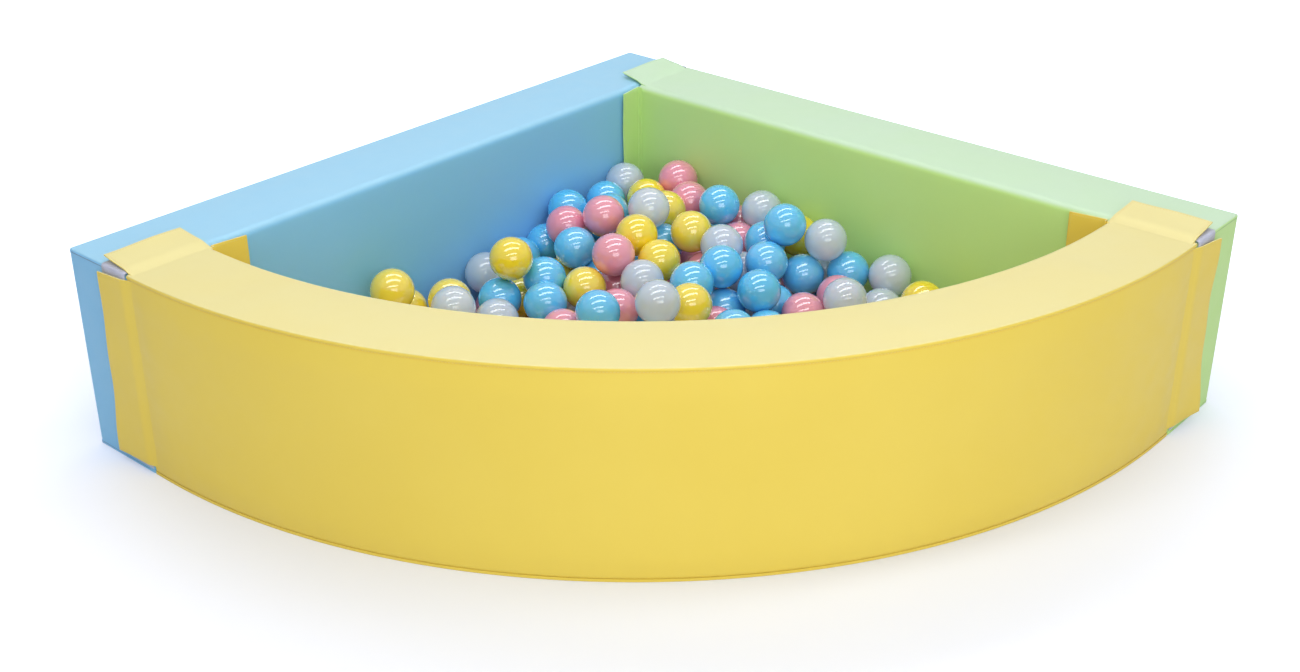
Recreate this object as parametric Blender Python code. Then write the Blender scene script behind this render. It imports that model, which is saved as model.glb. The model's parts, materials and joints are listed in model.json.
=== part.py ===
"""Quarter-round ball pit with three soft walls, fastening flaps, zips and a heap of balls.

Metres, +Z up, standing on the floor. The left wall runs along X at the +Y side and the right
wall along Y at the +X side, and they meet in the back corner. The front wall is the curve that
closes the quarter circle. The origin is on the floor, under the middle of the whole object.
"""

import math

import bmesh
import bpy
import numpy as np
from mathutils import Matrix, Vector

# Walls
LENGTH = 1.200            # each straight side, measured outside
HEIGHT = 0.318
WALL = 0.138              # thickness of all three walls
END_STRAIGHT = 0.029      # straight run at each end of the front wall
GAP = 0.0003              # left between pieces that touch
OVERRUN = 0.005           # how far a cutting shape reaches past the piece it cuts
LEATHERETTE = 0.0012
PANEL = 0.002             # stiff panel sewn in under each wall
PANEL_INSET = 0.001
TOP_ROUND = 0.012         # soft edge along the inside of the top
EDGE_ROUND = 0.002        # sewn edge along the outside of the top
END_ROUND = 0.003         # sewn edges around the two ends
SEAM_DROP = 0.005         # seam line below the outer top edge
SEAM_DEPTH = 0.0008
SEAM_HALF = 0.0012
CURVE_STEPS = 32
ROUND_STEPS = 3

# Fastening flaps, with a hook strip under each and a loop patch on the wall it closes on
FLAP = 0.0016
STRIP = 0.001
FLAP_RISE = 2 * STRIP + 3 * GAP      # from the wall's face to the underside of a closed flap
FLAP_STAND = FLAP_RISE + FLAP
SEWN_BACK = 0.004                    # the hinge line sits this far back from the joint
RAMP_START = 0.002
RAMP_END = 0.010
RAMP_STEPS = 4
FLAP_CORNER = 0.002
TOP_FLAP_REACH = 0.062
TOP_FLAP_ROOT = 0.130
TOP_FLAP_TIP = 0.126
SIDE_FLAP_LOW = 0.014
SIDE_FLAP_HIGH = 0.311
INNER_FLAP_HIGH = 0.3165
SIDE_FLAP_TAPER = 0.006
OUTER_FLAP_REACH_TOP = 0.064
OUTER_FLAP_REACH_FOOT = 0.076
INNER_FLAP_REACH = 0.060
BACK_INNER_FLAP_REACH = 0.042
HOOK_START = 0.013
HOOK_MARGIN = 0.006
STRIP_CORNER = 0.004
LOOP_NEAR = 0.009
LOOP_FAR = 0.056
LOOP_ALONG = 0.110
LOOP_FOOT = 0.020
LOOP_INNER_START = 0.006

# Zips in the panels, with a slider that has no pull tab
ZIP_FROM_ENDS = 0.081     # from a straight wall's zip to its shorter wall's ends
CURVED_ZIP = 0.600
ZIP_INSIDE = 0.025        # the curved wall's zip stays this far outside its inner face
TAPE_HALF = 0.013
TAPE = 0.0006
TEETH_HALF = 0.00275
TEETH_HEIGHT = 0.0022
TEETH_SPLIT = 0.0007
ZIP_STOP = 0.004
SLIDER_LENGTH = 0.010
SLIDER_START = 0.003
SLIDER_PLATE = 0.0008
SLIDER_POST = 0.0004
SLIDER_LIP = 0.0008
SLOT_HALF = 0.0046
ZIP_ROOM = 0.0005         # room around a zip in the panel and the foam

# Screen colours, and the sharpest turn that is shaded as round
SCREEN_WHITE = 255
SCREEN_GAMMA = 2.2
ROUND_TURN_DEG = 45

# Balls
BALL = 0.070
CLEAR = 0.0006            # left between two loose balls
SQUASH = 0.002            # how far two joined balls of the bed press into one another
LOOSE_STEPS = 3           # rounds of splitting that make a loose ball from 20 faces
BED_STEPS = 2
BURIED_STEPS = 1
BED_REACH = 0.0355        # corner radius of a coarse ball in the bed
BED_HEART = 0.028         # every coarse ball is solid this far from its middle
BITE = 0.002              # how far a joined ball's corner reaches into its partner's heart

# Places that follow from the sizes above
RADIUS = LENGTH - WALL - GAP - END_STRAIGHT      # outside of the front wall's curve
STRAIGHT_ZIP = LENGTH - WALL - 2 * ZIP_FROM_ENDS
SIDE = LENGTH / 2
SHIFT = FLAP_STAND / 2                           # centres the box on the origin
BACK_Y = SIDE + SHIFT
FRONT_Y = BACK_Y - LENGTH
INNER_X = SIDE - WALL
INNER_Y = BACK_Y - WALL
COVER_LOW = PANEL + GAP
UP = Vector((0, 0, 1))
EAST = Vector((1, 0, 0))
NORTH = Vector((0, 1, 0))


def paint(red, green, blue):
    """Turn a colour as a screen shows it into the renderer's linear one."""
    return tuple((value / SCREEN_WHITE) ** SCREEN_GAMMA for value in (red, green, blue))


# Finishes: colour, roughness
FINISHES = {
    "blue_leatherette": (paint(165, 212, 242), 0.45),
    "green_leatherette": (paint(200, 230, 195), 0.45),
    "yellow_leatherette": (paint(240, 222, 140), 0.45),
    "foam": (paint(240, 238, 225), 0.95),
    "base_fabric": (paint(70, 90, 110), 0.8),
    "zip": (paint(225, 228, 232), 0.6),
    "slider": (paint(235, 235, 238), 0.35),
    "hook_strip": (paint(232, 234, 240), 0.85),
    "loop_patch": (paint(205, 208, 226), 0.95),
    "blue_ball": (paint(85, 189, 245), 0.15),
    "pink_ball": (paint(230, 140, 165), 0.15),
    "yellow_ball": (paint(247, 220, 34), 0.15),
    "white_ball": (paint(226, 230, 236), 0.2),
}
WALL_FINISH = {
    "left": "blue_leatherette",
    "right": "green_leatherette",
    "front": "yellow_leatherette",
}

# Balls as the photograph shows them: centre x, centre y and width, in pixels.
# Loose balls lie on top, with nothing over them, and the others are locked in the bed.
LOOSE_BALLS = {
    "white": ((624, 182, 39.3), (650, 210, 41.5), (722, 247, 43), (886, 276.5, 43.8),
              (845, 296, 44.3), (659, 299, 45.6), (453, 304.5, 45)),
    "pink": ((680, 183, 39.6), (602, 213, 42), (614, 255.7, 43.5)),
    "yellow": ((691.5, 233.5, 42), (512.4, 257, 44), (393, 288.5, 44.7), (921, 299.5, 45)),
    "blue": ((721, 204, 42), (609, 212, 40.3), (785, 226.5, 42.6), (520, 254, 41.8),
             (598.5, 308.5, 45.5), (733, 328, 45.6)),
}
BED_BALLS = {
    "white": ((762, 210.5, 41), (825.5, 240, 43), (826, 268, 42.3), (485, 272, 42.7),
              (743, 272, 42.3), (642, 281, 44), (692, 283, 43.3), (882, 309.5, 44.6),
              (497, 320, 44.8)),
    "pink": ((688.5, 201, 40.2), (740, 225, 41), (566.5, 226, 41.2), (738, 242, 41.5),
             (705, 272, 42.5), (663, 280, 42.6), (617, 287, 43.4), (837, 296, 43),
             (617, 310, 44.3), (803, 314, 44.4), (716, 328, 45), (563, 331, 44.8)),
    "yellow": ((647, 198, 40), (666, 211, 40.5), (637, 235, 41.5),
               (798, 235, 41.6), (658.5, 260, 42.7), (585, 288, 43.8), (521, 297, 43),
               (450, 300, 44), (690, 305, 44.6), (406, 309, 44.6)),
    "blue": ((606, 200.5, 39.9), (567.5, 209, 40.5), (765, 242, 42.3), (663, 243, 41.5),
             (546, 243.5, 41.3),
             (575, 247.5, 42.5), (766.5, 262, 43.5), (721, 266, 43.5), (848.5, 272, 42.6),
             (803, 274.5, 42.5), (544.5, 278, 43.2), (694, 287, 43.3), (759, 291, 44.8),
             (500, 299, 43.8), (545.5, 303, 44.5), (773, 305, 43.6), (724, 310, 43.6),
             (767, 332, 45.8)),
}

# Where the photograph was taken from: how far in front of the two inner faces, how high,
# and its picture
EYE_FROM_RIGHT_WALL = 2.1833
EYE_FROM_LEFT_WALL = 1.9171
EYE_HEIGHT = 1.2971
LOOKING_DEG = 49.17       # turned from straight ahead (+Y) towards +X
TILT_DEG = 27.04          # looking down
PICTURE_FOCAL = 1695.6    # pixels
PICTURE_MIDDLE = (650, 336)

# How the heap settles
BURIED_LAYERS = (0.70, 0.60, 0.40)   # reach of each buried layer from the corner
BURIED_CLEAR = 0.052                 # buried balls keep this far from where a seen one starts
COVER_REACH = 0.060                  # an upper buried ball lies under a seen one this near
COVER_DROP = 0.030                   # and at least this far below it
SETTLING_ROUNDS = 300
JOINING_ROUNDS = 200
SINKING_ROUNDS = 60       # the loose balls come to rest on the bed, which no longer moves
RESTING_ROUNDS = 60
FALL_STEP = 0.0005
SINK_STEP = 0.0001
ANCHOR_SHARE = 0.004
SIGHT_SHARE = 0.4
PUSH_SHARE = 1.3
PUSHES = 3


def clear():
    """Remove everything that a new file starts with."""
    for obj in list(bpy.data.objects):
        bpy.data.objects.remove(obj, do_unlink=True)


def finish(name):
    """The material of one finish, made the first time it is asked for."""
    if name in bpy.data.materials:
        return bpy.data.materials[name]
    colour, roughness = FINISHES[name]
    material = bpy.data.materials.new(name)
    material.use_nodes = True
    shader = material.node_tree.nodes["Principled BSDF"]
    shader.inputs["Base Color"].default_value = (*colour, 1)
    shader.inputs["Roughness"].default_value = roughness
    shader.inputs["Metallic"].default_value = 0
    return material


def place(name, mesh, finish_name, frame=None):
    """Put a mesh in the scene as one named object."""
    obj = bpy.data.objects.new(name, mesh)
    bpy.context.scene.collection.objects.link(obj)
    if frame is not None:
        obj.matrix_world = frame
    if not mesh.materials:
        mesh.materials.append(finish(finish_name))
    return obj


def closed_mesh(name, bm):
    """Turn the faces of a closed shape outwards and store it."""
    bmesh.ops.recalc_face_normals(bm, faces=bm.faces)
    mesh = bpy.data.meshes.new(name)
    bm.to_mesh(mesh)
    bm.free()
    return mesh


def loft(name, rings):
    """A closed skin through rings of points, with a flat cap at both ends."""
    bm = bmesh.new()
    corners = [[bm.verts.new(point) for point in ring] for ring in rings]
    for first, second in zip(corners, corners[1:]):
        for here in range(len(first)):
            after = (here + 1) % len(first)
            bm.faces.new((first[here], first[after], second[after], second[here]))
    bm.faces.new(corners[0])
    bm.faces.new(corners[-1])
    return closed_mesh(name, bm)


def prism(name, outline, offset):
    """A flat outline given thickness by an offset."""
    return loft(name, [outline, [point + offset for point in outline]])


def cut(obj, cutter_mesh):
    """Take a shape away from an object for good."""
    cutter = place("cutter", cutter_mesh, "foam")
    bpy.context.view_layer.update()
    modifier = obj.modifiers.new("cut", "BOOLEAN")
    modifier.operation = "DIFFERENCE"
    modifier.solver = "EXACT"
    modifier.object = cutter
    keep_result(obj)
    bpy.data.objects.remove(cutter, do_unlink=True)


def keep_result(obj):
    """Replace an object's mesh by what its modifiers make of it."""
    shapes = bpy.context.evaluated_depsgraph_get()
    result = bpy.data.meshes.new_from_object(obj.evaluated_get(shapes))
    obj.modifiers.clear()
    obj.data = result


def quarter(steps):
    """Angles from 0 to a right angle."""
    return [math.radians(90) * step / steps for step in range(steps + 1)]


# Paths of the three walls: a point on the outer face and the way inwards, at a distance along

def left_path(distance):
    """The left wall's outer face, from its free end to the back corner."""
    return Vector((-SIDE, BACK_Y, 0)) + EAST * distance, -NORTH


def right_path(distance):
    """The right wall's outer face, from its free end to the left wall."""
    return Vector((SIDE, FRONT_Y, 0)) + NORTH * distance, -EAST


def front_path(distance):
    """The front wall's outer face, from the left wall to the right wall."""
    bend = RADIUS * math.radians(90)
    centre = Vector((RADIUS - SIDE, FRONT_Y + RADIUS, 0))
    turned = min(max(distance - END_STRAIGHT, 0), bend) / RADIUS
    outwards = -EAST * math.cos(turned) - NORTH * math.sin(turned)
    heading = EAST * math.sin(turned) - NORTH * math.cos(turned)
    run = min(distance - END_STRAIGHT, 0) + max(distance - END_STRAIGHT - bend, 0)
    return centre + outwards * RADIUS + heading * run, -outwards


PATHS = {
    "left": (left_path, LENGTH, []),
    "right": (right_path, LENGTH - WALL - GAP, []),
    "front": (
        front_path,
        RADIUS * math.radians(90) + 2 * END_STRAIGHT,
        [END_STRAIGHT + RADIUS * math.radians(90) * step / CURVE_STEPS
         for step in range(CURVE_STEPS + 1)],
    ),
}


def rings_along(wall, profile, inset, rounded=False):
    """Rings of a wall's cross-section along its path, inset from its two ends."""
    path, length, bends = PATHS[wall]
    stops = [(inset, 0)]
    if rounded:
        stops = [(END_ROUND * (1 - math.cos(angle)), END_ROUND * (1 - math.sin(angle)))
                 for angle in quarter(ROUND_STEPS)]
    distances = list(stops)
    distances += [(bend, 0) for bend in bends]
    distances += [(length - stop, extra) for stop, extra in reversed(stops)]
    rings = []
    for distance, extra in distances:
        point, inwards = path(distance)
        rings.append([point + inwards * depth + UP * z for depth, z in profile(inset + extra)])
    return rings


def soft_profile(inset, low, seam):
    """Cross-section of a wall: depth behind its outer face and height, both inset."""
    near, far, top = inset, WALL - inset, HEIGHT - inset
    points = [(near, low)]
    if seam:
        line = HEIGHT - SEAM_DROP
        points += [(near, line - SEAM_HALF), (near + SEAM_DEPTH, line), (near, line + SEAM_HALF)]
        points += [(near, top - EDGE_ROUND), (near + EDGE_ROUND, top)]
    else:
        points.append((near, top))
    radius = TOP_ROUND - inset
    points += [(far - radius + radius * math.sin(angle), top - radius + radius * math.cos(angle))
               for angle in quarter(ROUND_STEPS)]
    points.append((far, low))
    return points


def wall_cover(wall):
    """The leatherette skin over the top, the sides and the ends of a wall."""
    outside = rings_along(wall, lambda inset: soft_profile(inset, COVER_LOW, True), 0, True)
    inside = rings_along(
        wall, lambda inset: soft_profile(inset, COVER_LOW - OVERRUN, False), LEATHERETTE)
    cover = place(wall + "_wall_cover", loft(wall + "_wall_cover", outside), WALL_FINISH[wall])
    cut(cover, loft("inside", inside))
    return cover


def wall_foam(wall):
    """The foam block inside a cover, with a groove for the zip under it."""
    shape = rings_along(
        wall, lambda inset: soft_profile(inset, COVER_LOW, False), LEATHERETTE + GAP)
    foam = place(wall + "_wall_foam", loft(wall + "_wall_foam", shape), "foam")
    low = COVER_LOW - OVERRUN
    high = PANEL + GAP + TEETH_HEIGHT + SLIDER_PLATE
    cut(foam, zip_block(wall, TAPE_HALF + ZIP_ROOM, low, high))
    return foam


def wall_base(wall):
    """The stiff panel under a wall, with a slot for the zip."""
    def flat(inset):
        near, far = inset, WALL - inset
        return [(near, 0), (near, PANEL), (far, PANEL), (far, 0)]
    shape = rings_along(wall, flat, PANEL_INSET)
    base = place(wall + "_wall_base", loft(wall + "_wall_base", shape), "base_fabric")
    cut(base, zip_block(wall, SLOT_HALF, -OVERRUN, PANEL + OVERRUN))
    return base


# Zips: X runs along the zip from its closed end, Y across it

def zip_frame(wall):
    """Where a wall's zip starts and which way it runs, and how long it is."""
    if wall == "left":
        start = Vector((-STRAIGHT_ZIP / 2, BACK_Y - WALL / 2, 0))
        return start, EAST, STRAIGHT_ZIP
    if wall == "right":
        middle = FRONT_Y + PATHS[wall][1] / 2
        start = Vector((SIDE - WALL / 2, middle - STRAIGHT_ZIP / 2, 0))
        return start, NORTH, STRAIGHT_ZIP
    centre = Vector((RADIUS - SIDE, FRONT_Y + RADIUS, 0))
    outwards = -(EAST + NORTH).normalized()
    along = (EAST - NORTH).normalized()
    start = centre + outwards * (RADIUS - WALL + ZIP_INSIDE) - along * CURVED_ZIP / 2
    return start, along, CURVED_ZIP


def zip_matrix(wall):
    """The frame of a wall's zip."""
    start, along, _ = zip_frame(wall)
    across = UP.cross(along)
    frame = Matrix((along, across, UP)).transposed().to_4x4()
    frame.translation = start
    return frame


def zip_outline(points):
    """A cross-section of a zip, across and up, as points at the zip's start."""
    return [Vector((0, across, z)) for across, z in points]


def zip_block(wall, half, low, high):
    """A plain block along a wall's zip, for cutting the room that it needs."""
    length = zip_frame(wall)[2]
    outline = zip_outline([(-half, low), (half, low), (half, high), (-half, high)])
    mesh = prism("room", outline, Vector((length + 2 * ZIP_ROOM, 0, 0)))
    mesh.transform(zip_matrix(wall) @ Matrix.Translation((-ZIP_ROOM, 0, 0)))
    return mesh


def wall_zip(wall):
    """Two toothed rows on their tapes, parted down the middle and joined by the bottom stop."""
    length = zip_frame(wall)[2]
    tape_low = PANEL + GAP
    tape_high = tape_low + TAPE
    middle = (tape_low + tape_high) / 2
    low = middle - TEETH_HEIGHT / 2
    high = middle + TEETH_HEIGHT / 2
    half = [(TAPE_HALF, tape_low), (TAPE_HALF, tape_high), (TEETH_HALF, tape_high),
            (TEETH_HALF, high)]
    outline = [(TEETH_HALF, low), (TEETH_HALF, tape_low)] + half
    outline += [(-across, z) for across, z in reversed(outline)]
    mesh = prism(wall + "_wall_zip", zip_outline(outline), Vector((length, 0, 0)))
    chain = place(wall + "_wall_zip", mesh, "zip", zip_matrix(wall))
    split = TEETH_SPLIT / 2
    parting = zip_outline([(-split, low - OVERRUN), (split, low - OVERRUN),
                           (split, high + OVERRUN), (-split, high + OVERRUN)])
    mesh = prism("parting", parting, Vector((length - ZIP_STOP + OVERRUN, 0, 0)))
    mesh.transform(zip_matrix(wall) @ Matrix.Translation((-OVERRUN, 0, 0)))
    cut(chain, mesh)
    return chain


def wall_zip_slider(wall):
    """The slider: two plates with lips around the teeth, joined by a post between the rows."""
    middle = PANEL + GAP + TAPE / 2
    post = SLIDER_POST / 2
    reach = TEETH_HALF + GAP + SLIDER_LIP
    plate = TEETH_HEIGHT / 2 + GAP
    lip = TAPE / 2 + GAP
    quarter_outline = [
        (post, 0), (post, plate), (TEETH_HALF + GAP, plate), (TEETH_HALF + GAP, lip),
        (reach, lip), (reach, plate + SLIDER_PLATE),
    ]
    upper = quarter_outline[1:]
    right = [(across, -z) for across, z in reversed(upper)] + upper
    left = [(-across, z) for across, z in reversed(right)]
    outline = zip_outline([(across, middle + z) for across, z in right + left])
    mesh = prism(wall + "_wall_zip_slider", outline, Vector((SLIDER_LENGTH, 0, 0)))
    frame = zip_matrix(wall) @ Matrix.Translation((SLIDER_START, 0, 0))
    return place(wall + "_wall_zip_slider", mesh, "slider", frame)


# Corners where one wall's end butts against another wall, the carrier. The corner's origin is
# on the floor where the carrier's inner face meets its end. "along" runs along the carrier
# from its end, and "over" goes from its inner face to its outer one.

CORNERS = {
    "left": (Vector((-SIDE, INNER_Y, 0)), EAST, NORTH, "yellow_leatherette", INNER_FLAP_REACH),
    "right": (Vector((INNER_X, FRONT_Y, 0)), NORTH, EAST, "yellow_leatherette",
              INNER_FLAP_REACH),
    "back": (Vector((SIDE, INNER_Y, 0)), -EAST, NORTH, "green_leatherette",
             BACK_INNER_FLAP_REACH),
}


def hinge_frame(point, out, off):
    """A frame on a flap's hinge line: X out from it, Y off the wall, Z along the hinge."""
    frame = Matrix((out, off, out.cross(off))).transposed().to_4x4()
    frame.translation = point
    return frame


def flap_half(distance, shape):
    """Half of a flap's width at a distance from its hinge, without its corners."""
    root, tip, low_reach, high_reach, _ = shape
    share = max(distance, 0) / ((low_reach + high_reach) / 2)
    return (root + (tip - root) * share) / 2


def flap_point(distance, off, side, half, shape):
    """A point of a flap, or of the strip under it, where the reach differs between its sides."""
    low_reach, high_reach = shape[2:4]
    middle = (low_reach + high_reach) / 2
    reach = low_reach if side < 0 else high_reach
    share = max(distance, 0) / middle
    return Vector((distance * (1 + (reach / middle - 1) * share), off, side * half))


def flap_rows(shape):
    """Rows of a flap: distance from the hinge, thickness, height of its middle, narrowing."""
    _, _, low_reach, high_reach, rise = shape
    reach = (low_reach + high_reach) / 2
    rows = [(-FLAP / 2 * math.cos(angle), FLAP * math.sin(angle), 0, 0)
            for angle in quarter(ROUND_STEPS)[1:]]
    if rise:
        for step in range(RAMP_STEPS + 1):
            share = step / RAMP_STEPS
            lift = rise * (1 - math.cos(math.pi * share)) / 2
            rows.append((RAMP_START + (RAMP_END - RAMP_START) * share, FLAP, lift, 0))
    for angle in quarter(ROUND_STEPS):
        distance = reach - FLAP_CORNER + FLAP_CORNER * math.sin(angle)
        rows.append((distance, FLAP, rise, FLAP_CORNER * (1 - math.cos(angle))))
    return rows


def flap_mesh(name, shape):
    """A sewn flap: a rolled hinge edge, a ramp over the strips and a round-cornered tip."""
    rings = []
    for distance, thickness, middle, narrowing in flap_rows(shape):
        half = flap_half(distance, shape) - narrowing
        below, above = middle - thickness / 2, middle + thickness / 2
        rings.append([
            flap_point(distance, below, -1, half, shape),
            flap_point(distance, below, 1, half, shape),
            flap_point(distance, above, 1, half, shape),
            flap_point(distance, above, -1, half, shape),
        ])
    return loft(name, rings)


def rounded_box(near, far, low, high, radius):
    """Corner points of a rectangle with round corners, as pairs."""
    centres = [(far - radius, high - radius), (near + radius, high - radius),
               (near + radius, low + radius), (far - radius, low + radius)]
    points = []
    for turn, (first, second) in enumerate(centres):
        for angle in quarter(ROUND_STEPS):
            swing = angle + math.radians(90) * turn
            points.append((first + radius * math.cos(swing), second + radius * math.sin(swing)))
    return points


def hook_mesh(name, shape):
    """The hook strip under a flap."""
    root, tip, low_reach, high_reach, rise = shape
    reach = (low_reach + high_reach) / 2
    half = tip / 2 - HOOK_MARGIN
    under = rise - FLAP / 2 - GAP
    outline = rounded_box(HOOK_START, reach - HOOK_MARGIN, -half, half, STRIP_CORNER)
    points = [flap_point(distance, under, math.copysign(1, width), abs(width), shape)
              for distance, width in outline]
    return prism(name, points, Vector((0, -STRIP, 0)))


def corner_flaps(corner):
    """The three flaps of a corner, each with its hook strip, on their hinge lines."""
    origin, along, over, colour, inner_reach = CORNERS[corner]
    skin = GAP + FLAP / 2
    rise = FLAP_RISE - GAP
    outer_middle = UP * (SIDE_FLAP_LOW + SIDE_FLAP_HIGH) / 2
    outer_root = SIDE_FLAP_HIGH - SIDE_FLAP_LOW
    inner_middle = UP * (SIDE_FLAP_LOW + INNER_FLAP_HIGH) / 2
    inner_root = INNER_FLAP_HIGH - SIDE_FLAP_LOW
    top = hinge_frame(
        origin + along * WALL / 2 - over * SEWN_BACK + UP * (HEIGHT + skin), over, UP)
    outer = hinge_frame(origin + outer_middle - over * SEWN_BACK - along * skin, over, -along)
    inner = hinge_frame(
        origin + inner_middle + along * (WALL + skin) - over * (FLAP_RISE + FLAP / 2),
        along, -over)
    outer_reaches = (OUTER_FLAP_REACH_FOOT, OUTER_FLAP_REACH_TOP)
    if outer.col[2].z < 0:
        outer_reaches = (OUTER_FLAP_REACH_TOP, OUTER_FLAP_REACH_FOOT)
    shapes = {
        "top": (top, (TOP_FLAP_ROOT, TOP_FLAP_TIP, TOP_FLAP_REACH, TOP_FLAP_REACH, rise)),
        "outer": (outer, (outer_root, outer_root - SIDE_FLAP_TAPER, *outer_reaches, rise)),
        "inner": (inner, (inner_root, inner_root - SIDE_FLAP_TAPER, inner_reach, inner_reach,
                          0)),
    }
    for kind, (frame, shape) in shapes.items():
        flap = corner + "_" + kind + "_flap"
        hooks = corner + "_" + kind + "_hook_strip"
        place(flap, flap_mesh(flap, shape), colour, frame)
        place(hooks, hook_mesh(hooks, shape), "hook_strip", frame)


def loop_wrap(corner):
    """The loop patch that wraps from the carrier's top over its end edge."""
    origin, along, over, _, _ = CORNERS[corner]
    bend = HEIGHT - END_ROUND
    under, above = [
        [(END_ROUND - radius * math.sin(angle), bend + radius * math.cos(angle))
         for angle in quarter(ROUND_STEPS)]
        for radius in (END_ROUND + GAP, END_ROUND + GAP + STRIP)
    ]
    outline = [(LOOP_ALONG, HEIGHT + GAP + STRIP), (LOOP_ALONG, HEIGHT + GAP)]
    outline += under + [(-GAP, LOOP_FOOT), (-GAP - STRIP, LOOP_FOOT)] + above[::-1]
    points = [origin + along * distance + UP * z + over * LOOP_NEAR for distance, z in outline]
    name = corner + "_loop_wrap"
    return place(name, prism(name, points, over * (LOOP_FAR - LOOP_NEAR)), "loop_patch")


def inner_loop_patch(corner):
    """The loop patch on the carrier's inner face, under the inner flap."""
    origin, along, over, _, inner_reach = CORNERS[corner]
    near = WALL + LOOP_INNER_START
    far = WALL + inner_reach - HOOK_MARGIN
    outline = rounded_box(near, far, LOOP_FOOT, HEIGHT - TOP_ROUND, STRIP_CORNER)
    points = [origin + along * distance + UP * z - over * GAP for distance, z in outline]
    name = corner + "_inner_loop_patch"
    return place(name, prism(name, points, -over * STRIP), "loop_patch")


# The heap

def sight_lines(seen):
    """The eye, and for each seen ball the way to it and how far off it looks."""
    turn, tilt = math.radians(LOOKING_DEG), math.radians(TILT_DEG)
    eye = np.array([INNER_X - EYE_FROM_RIGHT_WALL, INNER_Y - EYE_FROM_LEFT_WALL, EYE_HEIGHT])
    ahead = np.array([math.sin(turn) * math.cos(tilt), math.cos(turn) * math.cos(tilt),
                      -math.sin(tilt)])
    side = np.array([math.cos(turn), -math.sin(turn), 0])
    above = np.cross(side, ahead)
    across = (seen[:, 0] - PICTURE_MIDDLE[0]) / PICTURE_FOCAL
    down = (seen[:, 1] - PICTURE_MIDDLE[1]) / PICTURE_FOCAL
    ways = ahead + across[:, None] * side - down[:, None] * above
    lengths = np.linalg.norm(ways, axis=1)
    depths = PICTURE_FOCAL * BALL / seen[:, 2]
    return eye, ways / lengths[:, None], depths * lengths


def buried_balls(seen_places):
    """Layers of balls packed from the corner outwards, under the ones that show."""
    pitch = 2 * BED_REACH + CLEAR
    row = pitch * math.sin(math.radians(60))
    rise = pitch * math.sqrt(2 / 3)
    start = BED_REACH + GAP
    places = []
    for layer, reach in enumerate(BURIED_LAYERS):
        for step in range(int(reach / row) + 1):
            for line in range(int(reach / row) + 1):
                along = start + (step + (line + layer) % 2 / 2) * pitch
                across = start + line * row + layer * row / 3
                if math.hypot(along, across) > reach:
                    continue
                spot = np.array([INNER_X - along, INNER_Y - across, BALL / 2 + layer * rise])
                away = np.linalg.norm(seen_places - spot, axis=1)
                level = np.linalg.norm(seen_places[:, :2] - spot[:2], axis=1)
                over = seen_places[:, 2] > spot[2] + COVER_DROP
                covered = ((level < COVER_REACH) & over).any()
                if covered and (layer == 0 or away.min() > BURIED_CLEAR):
                    places.append(spot)
    return np.array(places)


def hinge_room(places, reaches):
    """How far each ball has to move out of the room that the back inner flap swings in."""
    hinge = np.array([INNER_X - GAP - FLAP / 2, INNER_Y - FLAP_RISE - FLAP / 2])
    level = places[:, :2] - hinge
    away = np.linalg.norm(level, axis=1)
    short = np.maximum(BACK_INNER_FLAP_REACH + FLAP + reaches - away, 0)
    push = np.zeros_like(places)
    push[:, :2] = level / away[:, None] * short[:, None]
    return push


def joined_pairs(places):
    """Pairs of near neighbours that together join all the balls, each pair once."""
    far = np.linalg.norm(places[:, None] - places[None], axis=2)
    reached = np.zeros(len(places), bool)
    reached[0] = True
    nearest = far[0]
    source = np.zeros(len(places), int)
    pairs = []
    for _ in range(len(places) - 1):
        ball = int(np.argmin(np.where(reached, np.inf, nearest)))
        pairs.append((source[ball], ball))
        reached[ball] = True
        source = np.where(far[ball] < nearest, ball, source)
        nearest = np.minimum(far[ball], nearest)
    return pairs


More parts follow.
